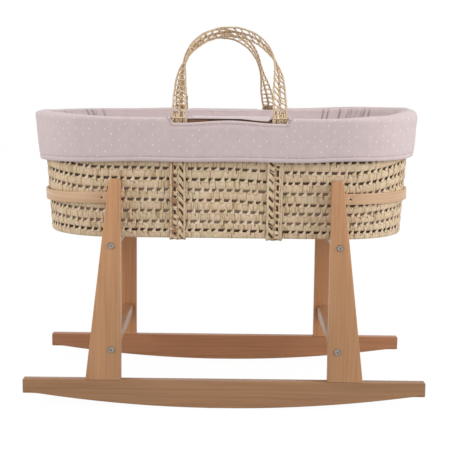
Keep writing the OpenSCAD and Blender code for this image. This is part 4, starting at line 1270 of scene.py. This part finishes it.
# padded lining inside the wall
def makeLining():
    along = roundOval(lining["samples"])
    heights = 1 - np.linspace(1, 0, lining["rows"]) ** 1.8
    dent = gatherDents(along, heights)
    z = lining["low"] + (lining["high"] - lining["low"]) * heights
    outR = lining["lowOut"] + (lining["highOut"] - lining["lowOut"]) * heights
    puff = lining["puff"] * np.sin(math.pi * heights) ** 0.8
    inR = outR[None, :] - lining["thickness"] - puff[None, :] + dent
    inner = ovalPoints(along[:, None], inR, z[None, :])
    outer = ovalPoints(along[:, None], (outR - 0.0002)[None, ::-1], z[None, ::-1])
    points = np.concatenate([inner, outer[:, [0, -1]]], axis=1)
    # the cloth's third value is how deep the gathers are, which the material turns into painted shade
    depth = np.concatenate([dent, 0 * dent[:, :2]], axis=1) / lining["depth"]
    cloth = stackParts(1000 * along[:, None], 1000 * np.concatenate([z, z[[-1, 0]]])[None, :], depth)
    stock = newStock()
    addGrid(stock, points[:, ::-1], cloth[:, ::-1], 0.0, wrapRows=True, wrapColumns=True)
    piece = makePiece("linerLining", stock, linerPlain, "cloth", liner["crease"])
    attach(piece, "basket")
    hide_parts("liner_wall")


makeLining()

# floor sheet of the liner, flat under the mattress
floorSheet = {"z": 0.3533, "thickness": 0.0014, "radius": 0.1368, "ripple": 0.0003, "samples": 260}


def makeFloorSheet():
    stock = newStock()
    along = roundOval(floorSheet["samples"])
    radius, half = floorSheet["radius"], floorSheet["thickness"] / 2
    rings = []
    for side, share in ((-1, 0.5), (-1, 0.75), (-1, 1.0), (1, 1.0), (1, 0.75), (1, 0.5)):
        ripple = floorSheet["ripple"] * np.sin(along * 55 + share * 9) * share
        rings.append(ovalPoints(along, share * radius, floorSheet["z"] + side * half + ripple))
    points = np.stack(rings, axis=1)
    addGrid(stock, points, points * flatCloth, 0.0, wrapRows=True)
    capOval(stock, len(along), len(rings), 0, True)
    capOval(stock, len(along), len(rings), len(rings) - 1, False)
    piece = makePiece("linerFloorSheet", stock, linerPlain, "cloth")
    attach(piece, "basket")
    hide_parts("liner_floor")


makeFloorSheet()
print("lining and floor sheet made")

# mattress: crowned pad with a piped seam round its upper and lower edge
pad = {"low": 0.3556, "side": 0.0292, "crown": 0.0088, "radius": 0.1286, "pull": 0.0016, "edgeRound": 0.004,
       "ripple": 0.0007, "piping": 0.0015, "pipingIn": 0.0022, "pipingAt": (0.085, 0.925), "samples": 300, "seed": 4}


def makeMattress():
    draw = np.random.default_rng(pad["seed"])
    along = roundOval(pad["samples"])
    side, r0 = pad["side"], pad["radius"]
    # section: under the pad, up the pulled side and over the crown
    shape = [(0.6 * r0, 0.0), (0.9 * r0, 0.0005)]
    for t in np.linspace(0, 1, 9):
        inward = pad["pull"] * math.sin(math.pi * t) + pad["edgeRound"] * abs(2 * t - 1) ** 4
        shape.append((r0 - inward, side * (0.06 + 0.88 * t)))
    for share in (0.965, 0.93, 0.86, 0.76, 0.64, 0.52, 0.4):
        shape.append((share * r0, side + pad["crown"] * (1 - share ** 3.2)))
    shape = np.array(shape)
    r = np.repeat(shape[None, :, 0], len(along), axis=0)
    z = pad["low"] + np.repeat(shape[None, :, 1], len(along), axis=0)
    phase = draw.uniform(0, 6.28, 6)
    turn = 2 * math.pi * along / ovalLength
    ripple = sum(np.sin(k * turn + p) for k, p in zip((9, 14, 23, 31, 47, 60), phase)) / 6
    upper = np.clip((shape[:, 1] - side * 0.9) / (side * 0.1), 0, 1) * np.clip(shape[:, 0] / r0, 0, 1)
    z -= pad["ripple"] * (1 + ripple[:, None]) * upper[None, :] * (shape[None, :, 0] / r0) ** 3
    points = ovalPoints(along[:, None], r, z)
    run = pathRun(shape[:, 0], shape[:, 1])
    cloth = stackParts(1000 * along[:, None], 1000 * run[None, :], 0.0)
    # the cloth lies flat on the top and the bottom, and runs round the side
    onSide = np.abs(shape[:, 0] / r0 - 0.985) < 0.018
    cloth = np.where(onSide[None, :, None], cloth, points * flatCloth)
    stock = newStock()
    addGrid(stock, points, cloth, 0.0, wrapRows=True)
    size = len(shape)
    capOval(stock, len(along), size, 0, True)
    capOval(stock, len(along), size, size - 1, False)
    ring = circle(7)[None, :]
    for height in pad["pipingAt"]:
        a = r0 - pad["pipingIn"] + pad["piping"] * np.cos(ring) + 0 * along[:, None]
        b = pad["low"] + side * height + pad["piping"] * np.sin(ring)
        points = ovalPoints(along[:, None], a, b)
        addGrid(stock, points, points * flatCloth, 0.0, wrapRows=True, wrapColumns=True)
    piece = makePiece("mattressPad", stock, padCloth, "cloth")
    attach(piece, "basket")
    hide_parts("mattress")


makeMattress()
print("mattress made")
